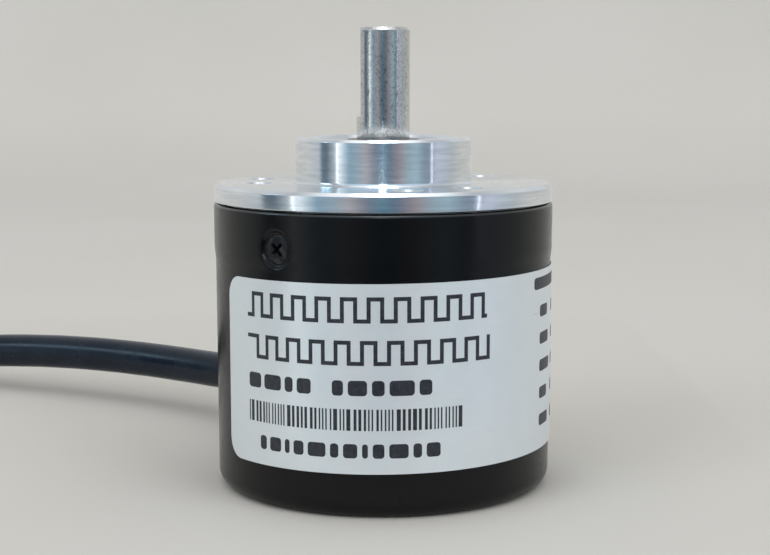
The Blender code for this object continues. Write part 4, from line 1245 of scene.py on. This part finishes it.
def build_world():
    """Soft room light whose brightness changes with direction, as polished metal shows."""
    world = bpy.data.worlds.new("studio")
    bpy.context.scene.world = world
    world.use_nodes = True
    world.node_tree.nodes.clear()
    graph = Graph(world.node_tree, "Generated")
    x, y, z = graph.split()
    # 0.5 towards the front (-Y), growing towards +X
    around = graph.math("ARCTAN2", x, y * -1.0) / (2 * math.pi) + 0.5
    colour = room_ramp(graph, around)
    length = graph.math("SQRT", x * x + y * y + z * z)
    height = z / length

    def blend(factor, tone):
        return graph.mix(factor, low=colour, high=tone)

    # upwards: soft grey, then one big bright ceiling panel
    colour = blend(height.remap(span=(0.45, 0.80), smooth=True), (0.58, 0.60, 0.63))
    colour = blend(height.remap(span=(0.84, 0.96), smooth=True), (1.25, 1.27, 1.30))
    # above the horizon: pale behind the object, bluer on the camera side
    behind = ((y / length).remap(span=(0.20, 0.70), smooth=True)
              * height.remap(span=(0.14, 0.34), smooth=True))
    colour = blend(behind, (0.70, 0.73, 0.75))
    ahead = ((y * -1.0 / length).remap(span=(0.20, 0.70), smooth=True)
             * height.remap(span=(0.24, 0.42), smooth=True))
    colour = blend(ahead, (0.66, 0.88, 1.05))
    # downwards: nearly black
    colour = blend((height * -1.0).remap(span=(0.33, 0.70), smooth=True), (0.05, 0.05, 0.048))

    room = graph.value("ShaderNodeBackground", {"Color": colour, "Strength": 1.0})
    # the camera sees a plain pale backdrop instead of the room
    plain = graph.value("ShaderNodeBackground", {"Color": (0.56, 0.555, 0.53)})
    camera_ray = graph.value("ShaderNodeLightPath", output="Is Camera Ray")
    surface = graph.value("ShaderNodeMixShader", {0: camera_ray, 1: room, 2: plain})
    graph.node("ShaderNodeOutputWorld", {"Surface": surface})
    # the room only shows in reflections; the setting exists only while Cycles is enabled
    if hasattr(world, "cycles_visibility"):
        world.cycles_visibility.diffuse = False


def area(name, spot, target, size, power, colour, size_y=None, reflected=True, diffuse=True):
    """Area lamp aimed at a target; size is its width, size_y its height if that differs."""
    data = bpy.data.lights.new(name, "AREA")
    data.energy = power
    data.color = colour
    data.size = size
    if size_y is not None:
        data.shape = "RECTANGLE"
        data.size_y = size_y
    obj = add_object(name, data)
    obj.location = spot
    obj.rotation_euler = (Vector(target) - Vector(spot)).to_track_quat("-Z", "Y").to_euler()
    obj.visible_camera = False
    obj.visible_glossy = reflected
    obj.visible_diffuse = diffuse


def build_lights():
    # the big panels light everything evenly but leave no reflections; the small lamps do the
    # opposite
    area("overhead_panel", spot=(0.0, -0.05, 0.95), target=(0, 0, 0.02), size=2.6, power=21.5,
         colour=(1.0, 0.99, 0.97), reflected=False)
    area("top_lamp", spot=(0.0, -0.15, 1.0), target=(0, 0, 0.03), size=0.36, power=1.5,
         colour=(0.96, 0.99, 1.0), diffuse=False)
    area("cable_lamp", spot=(-0.455, -0.046, 0.275), target=(-0.045, 0.045, 0.005), size=0.13,
         power=0.20, colour=(0.55, 0.80, 1.0), diffuse=False)
    for name, x in (("fill_left", -0.95), ("fill_right", 0.95)):
        area(name, spot=(x, -0.90, 0.50), target=(0, 0, 0.02), size=0.9, power=6.0,
             colour=(0.98, 0.99, 1.0), reflected=False)
    area("key_lamp", spot=(-0.01, -0.75, 0.42), target=(0, 0, 0.03), size=0.07, size_y=0.26,
         power=0.50, colour=(1.0, 1.0, 1.0), diffuse=False)
    for name, x, y, width, power in (("strip_left", -0.240, -0.139, 0.009, 0.013),
                                     ("strip_right", 0.250, -0.123, 0.006, 0.012)):
        area(name, spot=(x, y, 0.12), target=(0, 0, 0.12), size=width, size_y=0.34, power=power,
             colour=(0.95, 0.98, 1.0), diffuse=False)


def build_camera():
    pitch, roll = 0.126682, -0.0012     # radians: down from level, and about the view axis
    data = bpy.data.cameras.new("main_view")
    data.sensor_width = 36.0
    data.lens = 72.97714
    data.clip_start = 0.01
    camera = add_object("main_view", data)
    ahead = Vector((0, math.cos(pitch), -math.sin(pitch)))
    level = Vector((1, 0, 0))
    upward = level.cross(ahead)
    right = level * math.cos(roll) + upward * math.sin(roll)
    top = upward * math.cos(roll) - level * math.sin(roll)
    matrix = Matrix((right, top, -ahead)).transposed().to_4x4()
    matrix.translation = Vector((0.000190, -0.17632, 0.045520))
    camera.matrix_world = matrix
    bpy.context.scene.camera = camera


build_housing()
build_cover()
build_cover_screws()
build_label()
print_pulse_traces()
print_blocks()
print_index_bars()
print_foot_blocks()
print_wiring_rows()
build_jacket()
build_wires()
build_grommet()
build_shaft()
build_retaining_ring()
build_bearings()
finish_cad_nodes()
build_stage()
build_world()
build_lights()
build_camera()
bpy.context.scene.view_settings.view_transform = "Standard"
bpy.context.scene.view_settings.look = "None"
